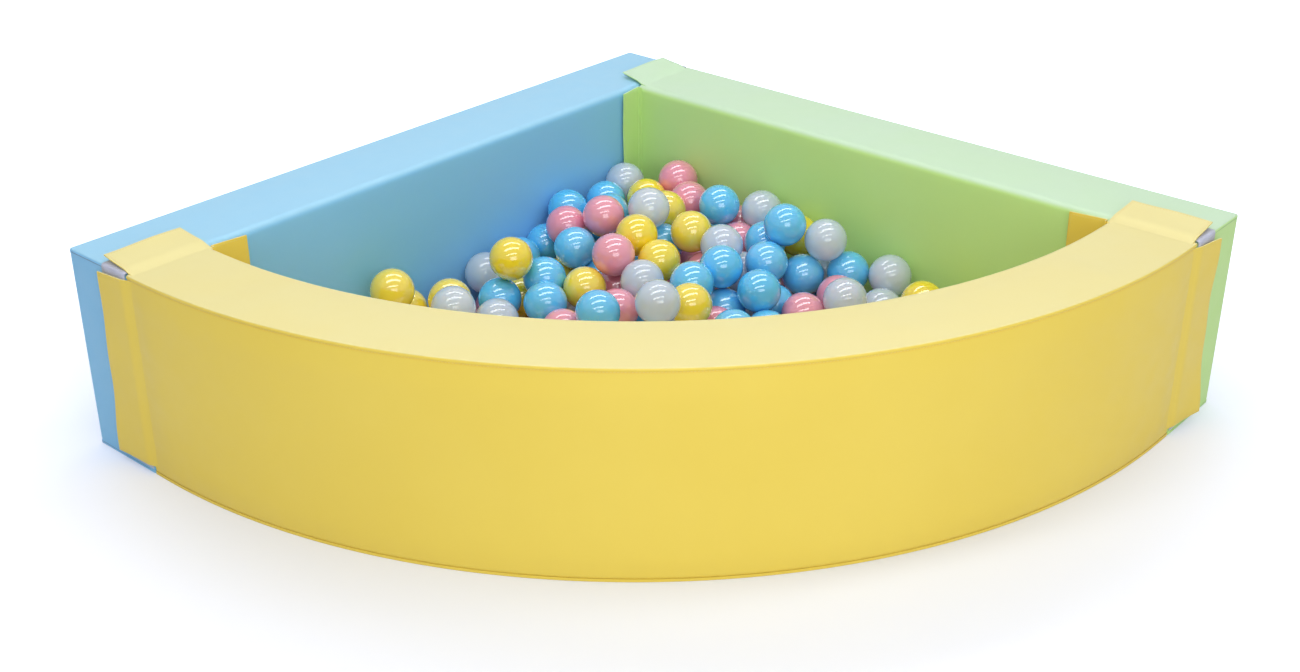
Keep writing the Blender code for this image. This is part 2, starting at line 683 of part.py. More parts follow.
def settle(seen, loose):
    """Where every ball lies: the seen ones on their sight lines, on a bed of buried ones."""
    eye, ways, distances = sight_lines(seen)
    start = eye + ways * distances[:, None]
    start[:, 0] = np.minimum(start[:, 0], INNER_X - BALL / 2)
    start[:, 1] = np.minimum(start[:, 1], INNER_Y - BALL / 2)
    count = len(seen)
    places = np.vstack([start, buried_balls(start)])
    total = len(places)
    locked = np.append(~loose, np.ones(total - count, bool))
    reaches = np.where(locked, BED_REACH, BALL / 2)
    apart = reaches[:, None] + reaches[None] + CLEAR
    tied = np.zeros((total, total), bool)
    partner = np.arange(total)
    bed_done = SETTLING_ROUNDS + JOINING_ROUNDS
    for turn in range(bed_done + SINKING_ROUNDS + RESTING_ROUNDS):
        if turn < SETTLING_ROUNDS:
            along = ((places[:count] - eye) * ways).sum(axis=1)
            places[:count] += ways * (ANCHOR_SHARE * (distances - along))[:, None]
        if turn == SETTLING_ROUNDS:
            bed = np.flatnonzero(locked)
            for one, other in joined_pairs(places[bed]):
                first, second = bed[one], bed[other]
                tied[first, second] = tied[second, first] = True
                apart[first, second] = apart[second, first] = BALL - SQUASH
                partner[second] = first
        resting = turn >= bed_done
        moves = np.where(locked & resting, 0.0, 1.0)
        given = moves[:, None] / np.maximum(moves[:, None] + moves[None], 1)
        if not resting:
            places[:, 2] -= FALL_STEP
        elif turn < bed_done + SINKING_ROUNDS:
            places[:, 2] -= SINK_STEP * moves
        for _ in range(PUSHES):
            between = places[:, None] - places[None]
            far = np.linalg.norm(between, axis=2) + np.eye(total)
            short = np.where(tied, apart - far, np.maximum(apart - far, 0))
            np.fill_diagonal(short, 0)
            push = (between / far[..., None] * (short * given)[..., None]).sum(axis=1)
            places += push * PUSH_SHARE / np.maximum((short != 0).sum(axis=1), 1)[:, None]
            if not resting:
                along = ((places[:count] - eye) * ways).sum(axis=1)
                places[:count] += SIGHT_SHARE * (eye + ways * along[:, None] - places[:count])
            places += hinge_room(places, reaches)
            places[:, 0] = np.minimum(places[:, 0], INNER_X - GAP - reaches)
            places[:, 1] = np.minimum(places[:, 1], INNER_Y - GAP - reaches)
            places[:, 2] = np.maximum(places[:, 2], BALL / 2)
    return places, places[partner]


def ball_mesh(name, steps, radius):
    """One ball, made of small flat triangles."""
    bm = bmesh.new()
    bmesh.ops.create_icosphere(bm, subdivisions=steps, radius=radius)
    return closed_mesh(name, bm)


def ball_turn(number, way=UP):
    """A different turn for each ball, with a corner of its mesh pointing a given way."""
    golden = math.pi * (3 - math.sqrt(5))
    aim = UP.rotation_difference(way).to_matrix().to_4x4()
    return aim @ Matrix.Rotation(golden * number, 4, "Z")


def locked_ball(number, spot, partner, steps):
    """One ball of the bed, with its nearest corner drawn into the ball it is joined to."""
    ball = ball_mesh("locked", steps, BED_REACH)
    towards = Vector(partner - spot)
    if towards.length < GAP:
        ball.transform(Matrix.Translation(spot))
        return ball
    corner = max(ball.vertices, key=lambda vertex: vertex.co.z)
    corner.co.z = max(BED_REACH, towards.length - BED_HEART + BITE)
    ball.transform(Matrix.Translation(spot) @ ball_turn(number, towards.normalized()))
    return ball


def ball_bed(places, partners, hidden):
    """The locked balls of the heap, each run into the neighbour that it is joined to."""
    joined = bmesh.new()
    for number, spot in enumerate(places):
        steps = BURIED_STEPS if hidden[number] else BED_STEPS
        ball = locked_ball(number, spot, partners[number], steps)
        if number == 0:
            bed = place("ball_bed", ball, "white_ball")
        else:
            joined.from_mesh(ball)
    others = place("others", closed_mesh("others", joined), "white_ball")
    modifier = bed.modifiers.new("join", "BOOLEAN")
    modifier.operation = "UNION"
    modifier.solver = "EXACT"
    modifier.use_self = True
    modifier.object = others
    keep_result(bed)
    bpy.data.objects.remove(others, do_unlink=True)
    return bed


def ball_list(groups):
    """Colours and picture places of a group of balls, in one order."""
    return [(colour, spot) for colour, spots in groups.items() for spot in spots]


def heap():
    """The balls: loose ones on top and the bed under them."""
    loose, locked = ball_list(LOOSE_BALLS), ball_list(BED_BALLS)
    every = loose + locked
    single = len(loose)
    seen = np.array([spot for _, spot in every], float)
    places, partners = settle(seen, np.arange(len(every)) < single)
    shapes = {}
    counts = {}
    for number, (colour, _) in enumerate(every[:single]):
        if colour not in shapes:
            shapes[colour] = ball_mesh(colour + "_ball", LOOSE_STEPS, BALL / 2)
        counts[colour] = counts.get(colour, 0) + 1
        frame = Matrix.Translation(places[number]) @ ball_turn(number)
        name = colour + "_ball_" + str(counts[colour])
        place(name, shapes[colour], colour + "_ball", frame)
    rest = places[single:]
    ball_bed(rest, partners[single:], np.arange(len(rest)) >= len(locked))


def shade_round():
    """Shade every round surface smooth and keep the sewn edges sharp."""
    for obj in bpy.data.objects:
        obj.data.shade_smooth()
        obj.data.set_sharp_from_angle(angle=math.radians(ROUND_TURN_DEG))


def build():
    """The whole ball pit."""
    clear()
    for wall in PATHS:
        wall_cover(wall)
        wall_foam(wall)
        wall_base(wall)
        wall_zip(wall)
        wall_zip_slider(wall)
    for corner in CORNERS:
        corner_flaps(corner)
        loop_wrap(corner)
        inner_loop_patch(corner)
    heap()
    shade_round()


build()
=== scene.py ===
"""Looks of a quarter-round ball pit: soft walls, fastening flaps, zips and a heap of balls.

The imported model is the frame, and every piece here rides on one of its bodies. Metres, +Z up.
The left wall runs along X at the +Y side and the right wall along Y at the +X side, and the
front wall is the curve that closes the quarter circle.
"""

import json
import logging
import math
from collections.abc import Iterator
from dataclasses import dataclass, field
from enum import Enum

import bmesh
import bpy
import numpy as np
from mathutils import Matrix, Vector
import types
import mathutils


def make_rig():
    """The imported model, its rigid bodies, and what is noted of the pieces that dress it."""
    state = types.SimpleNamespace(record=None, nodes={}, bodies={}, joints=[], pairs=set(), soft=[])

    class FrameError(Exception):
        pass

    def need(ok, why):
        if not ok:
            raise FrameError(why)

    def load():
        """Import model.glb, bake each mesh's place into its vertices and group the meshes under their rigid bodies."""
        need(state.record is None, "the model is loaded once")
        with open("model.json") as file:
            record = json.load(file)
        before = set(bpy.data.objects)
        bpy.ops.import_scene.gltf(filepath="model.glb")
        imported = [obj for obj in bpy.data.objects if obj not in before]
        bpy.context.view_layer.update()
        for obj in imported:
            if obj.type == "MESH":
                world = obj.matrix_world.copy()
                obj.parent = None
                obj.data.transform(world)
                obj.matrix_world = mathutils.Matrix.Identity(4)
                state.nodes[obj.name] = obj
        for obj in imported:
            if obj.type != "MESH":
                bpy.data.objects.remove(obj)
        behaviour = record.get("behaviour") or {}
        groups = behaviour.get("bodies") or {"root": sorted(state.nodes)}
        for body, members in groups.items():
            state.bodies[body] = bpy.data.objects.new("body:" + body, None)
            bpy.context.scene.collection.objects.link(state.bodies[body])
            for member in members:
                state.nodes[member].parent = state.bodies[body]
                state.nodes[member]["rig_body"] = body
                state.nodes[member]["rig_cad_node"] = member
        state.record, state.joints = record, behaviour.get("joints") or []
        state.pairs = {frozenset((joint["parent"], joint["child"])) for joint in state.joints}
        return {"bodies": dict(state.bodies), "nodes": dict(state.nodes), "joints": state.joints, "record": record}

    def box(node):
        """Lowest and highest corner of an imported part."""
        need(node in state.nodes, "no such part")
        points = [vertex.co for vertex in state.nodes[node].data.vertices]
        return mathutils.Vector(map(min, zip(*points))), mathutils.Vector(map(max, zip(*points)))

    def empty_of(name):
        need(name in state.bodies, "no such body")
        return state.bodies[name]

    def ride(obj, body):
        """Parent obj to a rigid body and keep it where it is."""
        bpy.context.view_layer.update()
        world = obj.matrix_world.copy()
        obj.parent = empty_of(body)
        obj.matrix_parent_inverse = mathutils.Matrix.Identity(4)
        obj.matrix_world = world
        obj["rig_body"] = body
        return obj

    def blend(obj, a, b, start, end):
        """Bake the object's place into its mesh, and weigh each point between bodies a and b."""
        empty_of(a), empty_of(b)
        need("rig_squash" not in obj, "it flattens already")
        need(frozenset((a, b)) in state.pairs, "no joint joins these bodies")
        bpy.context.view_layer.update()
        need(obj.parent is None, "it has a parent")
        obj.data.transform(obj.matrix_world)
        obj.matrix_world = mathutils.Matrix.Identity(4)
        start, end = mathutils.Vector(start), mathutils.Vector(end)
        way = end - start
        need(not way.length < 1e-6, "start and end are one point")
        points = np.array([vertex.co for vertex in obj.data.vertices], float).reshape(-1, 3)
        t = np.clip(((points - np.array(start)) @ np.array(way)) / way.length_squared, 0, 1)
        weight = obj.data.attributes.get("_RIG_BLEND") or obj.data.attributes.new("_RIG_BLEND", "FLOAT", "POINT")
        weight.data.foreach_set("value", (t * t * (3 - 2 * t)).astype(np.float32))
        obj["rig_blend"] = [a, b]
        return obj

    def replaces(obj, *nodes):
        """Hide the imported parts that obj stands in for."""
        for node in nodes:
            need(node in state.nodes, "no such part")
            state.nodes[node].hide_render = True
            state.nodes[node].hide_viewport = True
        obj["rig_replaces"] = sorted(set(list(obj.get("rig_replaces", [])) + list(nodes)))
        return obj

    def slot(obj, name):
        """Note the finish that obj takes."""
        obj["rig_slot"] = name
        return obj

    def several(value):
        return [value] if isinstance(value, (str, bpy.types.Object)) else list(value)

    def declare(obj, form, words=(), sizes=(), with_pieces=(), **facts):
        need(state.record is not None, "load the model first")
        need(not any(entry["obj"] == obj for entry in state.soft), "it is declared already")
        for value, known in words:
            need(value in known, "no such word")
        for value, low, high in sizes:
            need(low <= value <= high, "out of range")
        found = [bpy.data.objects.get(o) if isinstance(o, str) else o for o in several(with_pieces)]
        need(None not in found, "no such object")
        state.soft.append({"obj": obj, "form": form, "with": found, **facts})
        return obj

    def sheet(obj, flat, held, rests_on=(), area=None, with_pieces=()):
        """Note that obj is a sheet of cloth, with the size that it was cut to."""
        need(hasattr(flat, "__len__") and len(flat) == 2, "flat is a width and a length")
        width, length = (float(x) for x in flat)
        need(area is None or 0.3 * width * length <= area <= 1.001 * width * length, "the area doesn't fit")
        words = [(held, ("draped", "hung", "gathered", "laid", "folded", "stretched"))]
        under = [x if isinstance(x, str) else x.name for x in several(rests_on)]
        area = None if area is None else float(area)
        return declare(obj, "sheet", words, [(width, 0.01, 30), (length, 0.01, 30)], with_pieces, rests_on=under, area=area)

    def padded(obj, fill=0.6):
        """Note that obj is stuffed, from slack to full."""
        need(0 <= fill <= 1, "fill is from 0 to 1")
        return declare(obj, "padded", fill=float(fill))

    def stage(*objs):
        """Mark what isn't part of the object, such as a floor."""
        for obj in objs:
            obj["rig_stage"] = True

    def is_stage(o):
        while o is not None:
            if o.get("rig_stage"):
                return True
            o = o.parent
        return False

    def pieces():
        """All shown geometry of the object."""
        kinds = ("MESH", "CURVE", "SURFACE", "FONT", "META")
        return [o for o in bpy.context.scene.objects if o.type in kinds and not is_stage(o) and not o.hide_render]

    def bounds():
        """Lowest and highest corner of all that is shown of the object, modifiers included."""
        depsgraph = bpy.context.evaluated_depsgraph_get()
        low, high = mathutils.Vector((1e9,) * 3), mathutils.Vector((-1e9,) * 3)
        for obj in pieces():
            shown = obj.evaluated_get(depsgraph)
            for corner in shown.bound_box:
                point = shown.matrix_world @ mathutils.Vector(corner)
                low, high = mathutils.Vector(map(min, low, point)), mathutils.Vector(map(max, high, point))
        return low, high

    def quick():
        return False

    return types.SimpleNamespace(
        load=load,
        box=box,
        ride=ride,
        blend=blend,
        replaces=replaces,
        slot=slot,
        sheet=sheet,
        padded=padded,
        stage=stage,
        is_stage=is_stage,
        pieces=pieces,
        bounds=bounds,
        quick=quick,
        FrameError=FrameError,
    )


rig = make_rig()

LOG = logging.getLogger("ball_pit")
SIZE_FILE = "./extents.json"
UP = Vector((0, 0, 1))
EAST = Vector((1, 0, 0))
NORTH = Vector((0, 1, 0))
MM = 0.001


@dataclass(frozen=True)
class PitSizes:
    """Driving sizes of the pit, the same as its solids have."""

    length: float = 1.200
    height: float = 0.318
    wall: float = 0.138
    end_straight: float = 0.029
    gap: float = 0.0003
    panel: float = 0.002
    leather: float = 0.0012
    flap: float = 0.0016
    strip: float = 0.001
    top_round: float = 0.012
    edge_round: float = 0.002
    end_round: float = 0.003
    ball: float = 0.070

    @property
    def flap_rise(self) -> float:
        """From a wall's face to the underside of a closed flap."""
        return 2 * self.strip + 3 * self.gap

    @property
    def radius(self) -> float:
        """Outside of the front wall's curve."""
        return self.length - self.wall - self.gap - self.end_straight

    @property
    def shift(self) -> float:
        """Centres the whole box, with its flaps, on the origin."""
        return (self.flap_rise + self.flap) / 2

    @property
    def side(self) -> float:
        """Outer face of the right wall, and of the left wall's free end."""
        return self.length / 2

    @property
    def back(self) -> float:
        """Outer face of the left wall."""
        return self.side + self.shift

    @property
    def front(self) -> float:
        """Free end of the right wall."""
        return self.back - self.length

    @property
    def inner_x(self) -> float:
        """Inner face of the right wall."""
        return self.side - self.wall

    @property
    def inner_y(self) -> float:
        """Inner face of the left wall."""
        return self.back - self.wall

    @property
    def cover_low(self) -> float:
        """Lower edge of the covers, on the panels."""
        return self.panel + self.gap


SIZES = PitSizes()


class WallName(Enum):
    """The three walls."""

    LEFT = "left"
    RIGHT = "right"
    FRONT = "front"


class Corner(Enum):
    """The three corners where one wall's end butts against another wall."""

    LEFT = "left"
    RIGHT = "right"
    BACK = "back"


class FlapKind(Enum):
    """The three flaps of a corner."""

    TOP = "top"
    OUTER = "outer"
    INNER = "inner"


class BallColour(Enum):
    """The four colours of the balls."""

    WHITE = "white"
    PINK = "pink"
    YELLOW = "yellow"
    BLUE = "blue"


# Small helpers for shapes


def smooth(share: np.ndarray) -> np.ndarray:
    """Ease from 0 to 1 with level ends, held beyond them."""
    held = np.clip(share, 0, 1)
    return held * held * (3 - 2 * held)


def spread(start: float, end: float, step: float) -> np.ndarray:
    """Evenly spaced values from start to end, about a step apart."""
    return np.linspace(start, end, max(int(round(abs(end - start) / step)), 1) + 1)


def quarter(steps: int) -> np.ndarray:
    """Angles from 0 to a right angle."""
    return np.linspace(0, math.pi / 2, steps + 1)


def new_object(name: str, data: bpy.types.ID) -> bpy.types.Object:
    """Link a mesh, curve, light or camera to the scene as one object at the origin.

    Args:
        name: Name of the object.
        data: What it shows.

    Returns:
        The new object.
    """
    obj = bpy.data.objects.new(name, data)
    bpy.context.scene.collection.objects.link(obj)
    return obj


def shade_smooth(obj: bpy.types.Object, angle: float | None = None) -> bpy.types.Object:
    """Shade an object smooth, with sharp edges past an angle in degrees where one is given.

    Args:
        obj: The object to shade.
        angle: Edges that turn by more than this stay sharp.

    Returns:
        The same object.
    """
    obj.data.shade_smooth()
    if angle is not None:
        obj.data.set_sharp_from_angle(angle=math.radians(angle))
    return obj


class Patchwork:
    """Grids of points that are joined into one mesh where they meet."""

    NEAR = 0.02 * MM

    def __init__(self, name: str) -> None:
        """Start an empty patchwork with the name of the piece to make."""
        self.name = name
        self.bm = bmesh.new()

    def add(self, grid: np.ndarray) -> None:
        """Add a grid of points, rows by columns by three.

        Args:
            grid: The points.
        """
        rows = [[self.bm.verts.new(point) for point in row] for row in grid]
        for first, second in zip(rows, rows[1:]):
            for here in range(len(first) - 1):
                corners = (first[here], first[here + 1], second[here + 1], second[here])
                self.bm.faces.new(corners)

    def build(self) -> bpy.types.Object:
        """Merge what meets, turn the faces outwards and make the object.

        Returns:
            The new object.
        """
        bmesh.ops.remove_doubles(self.bm, verts=self.bm.verts, dist=self.NEAR)
        bmesh.ops.recalc_face_normals(self.bm, faces=self.bm.faces)
        mesh = bpy.data.meshes.new(self.name)
        self.bm.to_mesh(mesh)
        self.bm.free()
        return new_object(self.name, mesh)


def coons(bottom: np.ndarray, top: np.ndarray, left: np.ndarray, right: np.ndarray) -> np.ndarray:
    """Fill the four edges of a patch with a grid of points.

    Args:
        bottom: Points of the lower edge, from left to right.
        top: Points of the upper edge, from left to right.
        left: Points of the left edge, from bottom to top.
        right: Points of the right edge, from bottom to top.

    Returns:
        A grid, rows from bottom to top and columns from left to right.
    """
    across = np.linspace(0, 1, len(bottom))[None, :, None]
    up = np.linspace(0, 1, len(left))[:, None, None]
    ruled = (1 - up) * bottom[None] + up * top[None]
    sided = (1 - across) * left[:, None] + across * right[:, None]
    corners = (1 - up) * ((1 - across) * bottom[0] + across * bottom[-1])
    corners = corners + up * ((1 - across) * top[0] + across * top[-1])
    return ruled + sided - corners


def read_points(obj: bpy.types.Object) -> np.ndarray:
    """An object's points as an array.

    Args:
        obj: The object to read.

    Returns:
        One row for each point.
    """
    flat = np.empty(len(obj.data.vertices) * 3, np.float32)
    obj.data.vertices.foreach_get("co", flat)
    return flat.reshape(-1, 3).astype(float)


def write_points(obj: bpy.types.Object, points: np.ndarray) -> None:
    """Put an array of points back into an object."""
    obj.data.vertices.foreach_set("co", points.astype(np.float32).ravel())
    obj.data.update()


def store(obj: bpy.types.Object, name: str, values: np.ndarray) -> None:
    """Keep one number or one vector for each point of a mesh, for its material to read.

    Args:
        obj: The object whose mesh takes them.
        name: Name of the attribute.
        values: One row for each point, with one or three numbers.
    """
    vector = values.ndim == 2
    kind = "FLOAT_VECTOR" if vector else "FLOAT"
    attribute = obj.data.attributes.new(name, kind, "POINT")
    attribute.data.foreach_set("vector" if vector else "value", values.astype(np.float32).ravel())


def mark_painted_top_light(obj: bpy.types.Object) -> None:
    """Mark the points of a piece that face up, where its finish paints a paler top: painted light for the lamps' sheen
    on the top faces.

    Args:
        obj: The piece, which gets the attribute.
    """
    least, width = 0.3, 0.5
    normals = np.empty(len(obj.data.vertices) * 3)
    obj.data.vertex_normals.foreach_get("vector", normals)
    store(obj, "crown", smooth((normals.reshape(-1, 3)[:, 2] - least) / width))


def evaluated(obj: bpy.types.Object) -> bpy.types.Object:
    """The object as its modifiers leave it."""
    return obj.evaluated_get(bpy.context.evaluated_depsgraph_get())


def apply_modifiers(obj: bpy.types.Object) -> bpy.types.Object:
    """Replace an object's mesh by what its modifiers make of it, and drop them.

    Args:
        obj: The object to change.

    Returns:
        The same object.
    """
    mesh = bpy.data.meshes.new_from_object(evaluated(obj))
    obj.modifiers.clear()
    obj.data = mesh
    return obj


def layered(obj: bpy.types.Object, thick: float, edge: float, segments: int) -> bpy.types.Object:
    """Give a sheet its thickness, half to each side, and round its edges.

    Args:
        obj: The sheet.
        thick: Its thickness.
        edge: Width of the rounding.
        segments: How many faces the rounding has.

    Returns:
        The same object.
    """
    solid = obj.modifiers.new("layers", "SOLIDIFY")
    solid.thickness = thick
    solid.offset = 0
    edges = obj.modifiers.new("edges", "BEVEL")
    edges.width = edge
    edges.segments = segments
    edges.limit_method = "ANGLE"
    edges.angle_limit = math.radians(50)
    return apply_modifiers(obj)


def stand_for(piece: bpy.types.Object, body: str, node: str) -> bpy.types.Object:
    """Let a piece ride on a body, in the place of a CAD node.

    Args:
        piece: The piece.
        body: The body that carries it.
        node: The CAD node that it replaces.

    Returns:
        The same piece.
    """
    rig.ride(piece, body)
    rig.replaces(piece, node)
    return piece


# Small helpers for materials


class Graph:
    """Adds nodes to a node tree from left to right and links them."""

    STEP = 190

    def __init__(self, tree: bpy.types.NodeTree) -> None:
        """Take the tree to add to."""
        self.tree = tree
        self.count = 0

    def add(self, kind: str, **settings: object) -> bpy.types.Node:
        """Add one node and set its properties.

        Args:
            kind: The node's type.
            settings: Its properties by name.

        Returns:
            The new node.
        """
        node = self.tree.nodes.new(kind)
        for name, value in settings.items():
            setattr(node, name, value)
        node.location = (self.count * self.STEP, -(self.count % 4) * self.STEP)
        self.count += 1
        return node

    def feed(self, socket: bpy.types.NodeSocket, value: object) -> None:
        """Link a socket to another one, or set it to a plain value.

        Args:
            socket: An input.
            value: A socket or a plain value.
        """
        if isinstance(value, bpy.types.NodeSocket):
            self.tree.links.new(value, socket)
        else:
            socket.default_value = value

    def fill(self, node: bpy.types.Node, *values: object, **named: object) -> bpy.types.Node:
        """Feed a node's inputs in order or by name.

        Args:
            node: The node to feed.
            values: Values or sockets for its first inputs.
            named: Values or sockets by the input's name, with _ for a space in it.

        Returns:
            The same node.
        """
        for socket, value in zip(node.inputs, values):
            self.feed(socket, value)
        for name, value in named.items():
            self.feed(node.inputs[name.replace("_", " ")], value)
        return node

    def math(self, operation: str, *values: object) -> bpy.types.NodeSocket:
        """A math node on one to three values."""
        return self.fill(self.add("ShaderNodeMath", operation=operation), *values).outputs[0]

    def length(self, vector: object) -> bpy.types.NodeSocket:
        """How long a vector is."""
        return self.fill(self.add("ShaderNodeVectorMath", operation="LENGTH"), vector).outputs[1]

    def parts(self, vector: object) -> bpy.types.NodeOutputs:
        """A vector's three parts."""
        return self.fill(self.add("ShaderNodeSeparateXYZ"), vector).outputs

    def combined(self, *parts: object) -> bpy.types.NodeSocket:
        """A vector of one to three parts."""
        return self.fill(self.add("ShaderNodeCombineXYZ"), *parts).outputs[0]

    def scaled(self, place: object, size: object) -> bpy.types.NodeSocket:
        """A place measured in steps of a size."""
        node = self.add("ShaderNodeVectorMath", operation="SCALE")
        return self.fill(node, place, Scale=self.math("DIVIDE", 1.0, size)).outputs[0]

    def noise(self, place: object, size: object, detail: float = 2.0) -> bpy.types.NodeSocket:
        """Soft noise from 0 to 1 whose patches are about one size across.

        Args:
            place: Where it is read.
            size: How wide its patches are.
            detail: How many finer layers it has.

        Returns:
            The noise.
        """
        node = self.add("ShaderNodeTexNoise")
        self.fill(node, Vector=self.scaled(place, size), Scale=1.0, Detail=detail)
        return node.outputs["Fac"]

    def cells(self, place: object, size: object, feature: str = "F1") -> bpy.types.NodeSocket:
        """Distance within cells that are about one size across."""
        node = self.add("ShaderNodeTexVoronoi", feature=feature)
        return self.fill(node, Vector=self.scaled(place, size), Scale=1.0).outputs["Distance"]

    def between(self, value: object, low: float, high: float,
                start: float = 0.0, end: float = 1.0) -> bpy.types.NodeSocket:
        """Ease a value from one range to another.

        Args:
            value: The value to read.
            low: Where the result is at its start.
            high: Where the result is at its end.
            start: The result at the low end.
            end: The result at the high end.

        Returns:
            The eased value.
        """
        node = self.add("ShaderNodeMapRange", interpolation_type="SMOOTHSTEP")
        return self.fill(node, value, low, high, start, end).outputs[0]

    def blend(self, share: object, first: object, second: object,
              kind: str = "MIX") -> bpy.types.NodeSocket:
        """Blend two colours.

        Args:
            share: How much of the second one shows.
            first: The first colour.
            second: The second colour.
            kind: How they blend.

        Returns:
            The blended colour.
        """
        node = self.add("ShaderNodeMix", data_type="RGBA", blend_type=kind)
        shares = [socket for socket in node.inputs if socket.type == "VALUE"]
        colours = [socket for socket in node.inputs if socket.type == "RGBA"]
        for socket, value in zip((shares[0], *colours), (share, first, second)):
            self.feed(socket, value)
        return next(socket for socket in node.outputs if socket.type == "RGBA")

    def object_place(self) -> bpy.types.NodeSocket:
        """The place in the pit, in metres."""
        return self.add("ShaderNodeTexCoord").outputs["Object"]

    def attribute(self, name: str, part: str = "Fac") -> bpy.types.NodeSocket:
        """What the mesh keeps for each of its points."""
        return self.add("ShaderNodeAttribute", attribute_name=name).outputs[part]


FLOAT, VECTOR, COLOUR = "NodeSocketFloat", "NodeSocketVector", "NodeSocketColor"
PLACE = ("Place", VECTOR, None)


class EffectGroup:
    """A shader node group that several finishes share, built once."""

    name = "effect"
    inputs: tuple[tuple[str, str, object], ...] = (PLACE,)
    output = ("Height", FLOAT)

    def tree(self) -> bpy.types.NodeTree:
        """The group's tree, built when it is first asked for.

        Returns:
            The node group.
        """
        if self.name in bpy.data.node_groups:
            return bpy.data.node_groups[self.name]
        group = bpy.data.node_groups.new(self.name, "ShaderNodeTree")
        for name, kind, value in self.inputs:
            socket = group.interface.new_socket(name, in_out="INPUT", socket_type=kind)
            if value is not None:
                socket.default_value = value
        name, kind = self.output
        group.interface.new_socket(name, in_out="OUTPUT", socket_type=kind)
        graph = Graph(group)
        made = self.make(graph, graph.add("NodeGroupInput").outputs)
        graph.fill(graph.add("NodeGroupOutput"), made)
        return group

    def make(self, graph: Graph, given: object) -> bpy.types.NodeSocket:
        """Build the group's inside from its inputs.

        Args:
            graph: Where the nodes go.
            given: The group's input sockets, by name.

        Returns:
            The socket to put out.
        """
        raise NotImplementedError

    def use(self, graph: Graph, **values: object) -> bpy.types.NodeSocket:
        """Place the group in a material with its own values.

        Args:
            graph: The material's graph.
            values: A value or socket for each input.

        Returns:
            The group's output.
        """
        node = graph.add("ShaderNodeGroup", node_tree=self.tree())
        return graph.fill(node, **values).outputs[0]


class LeatherGrain(EffectGroup):
    """Fine pebble grain of synthetic leather, as a height from 0 to 1."""

    name = "leather_grain"
    inputs = (PLACE, ("Pebble", FLOAT, 1.1 * MM))

    def make(self, graph: Graph, given: object) -> bpy.types.NodeSocket:
        """Rounded pebbles with finer noise over them.

        Args:
            graph: Where the nodes go.
            given: The group's input sockets, by name.

        Returns:
            The socket to put out.
        """
        pebbles = graph.cells(given["Place"], given["Pebble"], "SMOOTH_F1")
        fine = graph.noise(given["Place"], graph.math("MULTIPLY", given["Pebble"], 0.35), 3.0)
        return graph.math("SUBTRACT", fine, graph.math("MULTIPLY", pebbles, 0.8))


class Mottle(EffectGroup):
    """Slow change of a colour over a surface, towards a second colour."""

    name = "mottle"
    inputs = (PLACE, ("Patch", FLOAT, 0.2), ("Colour", COLOUR, None),
              ("Other", COLOUR, None), ("Amount", FLOAT, 0.5))
    output = ("Colour", COLOUR)

    def make(self, graph: Graph, given: object) -> bpy.types.NodeSocket:
        """Soft patches of the other colour.

        Args:
            graph: Where the nodes go.
            given: The group's input sockets, by name.

        Returns:
            The socket to put out.
        """
        patches = graph.between(graph.noise(given["Place"], given["Patch"], 3.0), 0.35, 0.65)
        share = graph.math("MULTIPLY", patches, given["Amount"])
        return graph.blend(share, given["Colour"], given["Other"])


class SeamShadeAndDust(EffectGroup):
    """Darker lines in the folds that a mesh marks: painted shade in the seam grooves, with dust."""

    name = "seam_dust"
    inputs = (("Fold", FLOAT, 0.0), PLACE, ("Colour", COLOUR, None), ("Depth", FLOAT, 0.5))
    output = ("Colour", COLOUR)
    uneven = 12 * MM

    def make(self, graph: Graph, given: object) -> bpy.types.NodeSocket:
        """Multiply the colour down where the fold value is high.

        Args:
            graph: Where the nodes go.
            given: The group's input sockets, by name.

        Returns:
            The socket to put out.
        """
        uneven = graph.between(graph.noise(given["Place"], self.uneven), 0.2, 0.8, 0.7, 1.0)
        share = graph.math("MULTIPLY", graph.math("MULTIPLY", given["Fold"], uneven),
                           given["Depth"])
        darker = graph.blend(1.0, given["Colour"], given["Colour"], "MULTIPLY")
        return graph.blend(share, given["Colour"], darker)


class PaintedTopLight(EffectGroup):
    """Painted light: a paler colour on top, for the sheen that the lamps give the top faces."""

    name = "rubbed_crown"
    inputs = (("Crown", FLOAT, 0.0), PLACE, ("Colour", COLOUR, None), ("Faded", COLOUR, None))
    output = ("Colour", COLOUR)
    uneven = 0.12

    def make(self, graph: Graph, given: object) -> bpy.types.NodeSocket:
        """Blend towards the paler colour of the painted top light, a little unevenly.

        Args:
            graph: Where the nodes go.
            given: The group's input sockets, by name.

        Returns:
            The socket to put out.
        """
        uneven = graph.between(graph.noise(given["Place"], self.uneven), 0.3, 0.7, 0.92, 1.0)
        share = graph.math("MULTIPLY", given["Crown"], uneven)
        return graph.blend(share, given["Colour"], given["Faded"])


class Weave(EffectGroup):
    """Plain weave of tape or cloth, as a height from 0 to 1."""

    name = "weave"
    inputs = (PLACE, ("Pitch", FLOAT, 1.0 * MM))

    def make(self, graph: Graph, given: object) -> bpy.types.NodeSocket:
        """Two sets of ribs that pass over one another.

        Args:
            graph: Where the nodes go.
            given: The group's input sockets, by name.

        Returns:
            The socket to put out.
        """
        parts = graph.parts(graph.scaled(given["Place"], given["Pitch"]))
        diagonal = graph.math("ADD", parts[0], parts[1])
        other = graph.math("SUBTRACT", parts[0], parts[1])
        first = graph.math("SINE", graph.math("MULTIPLY", diagonal, math.pi))
        second = graph.math("SINE", graph.math("MULTIPLY", other, math.pi))
        return graph.math("MULTIPLY_ADD", graph.math("MULTIPLY", first, second), 0.5, 0.5)


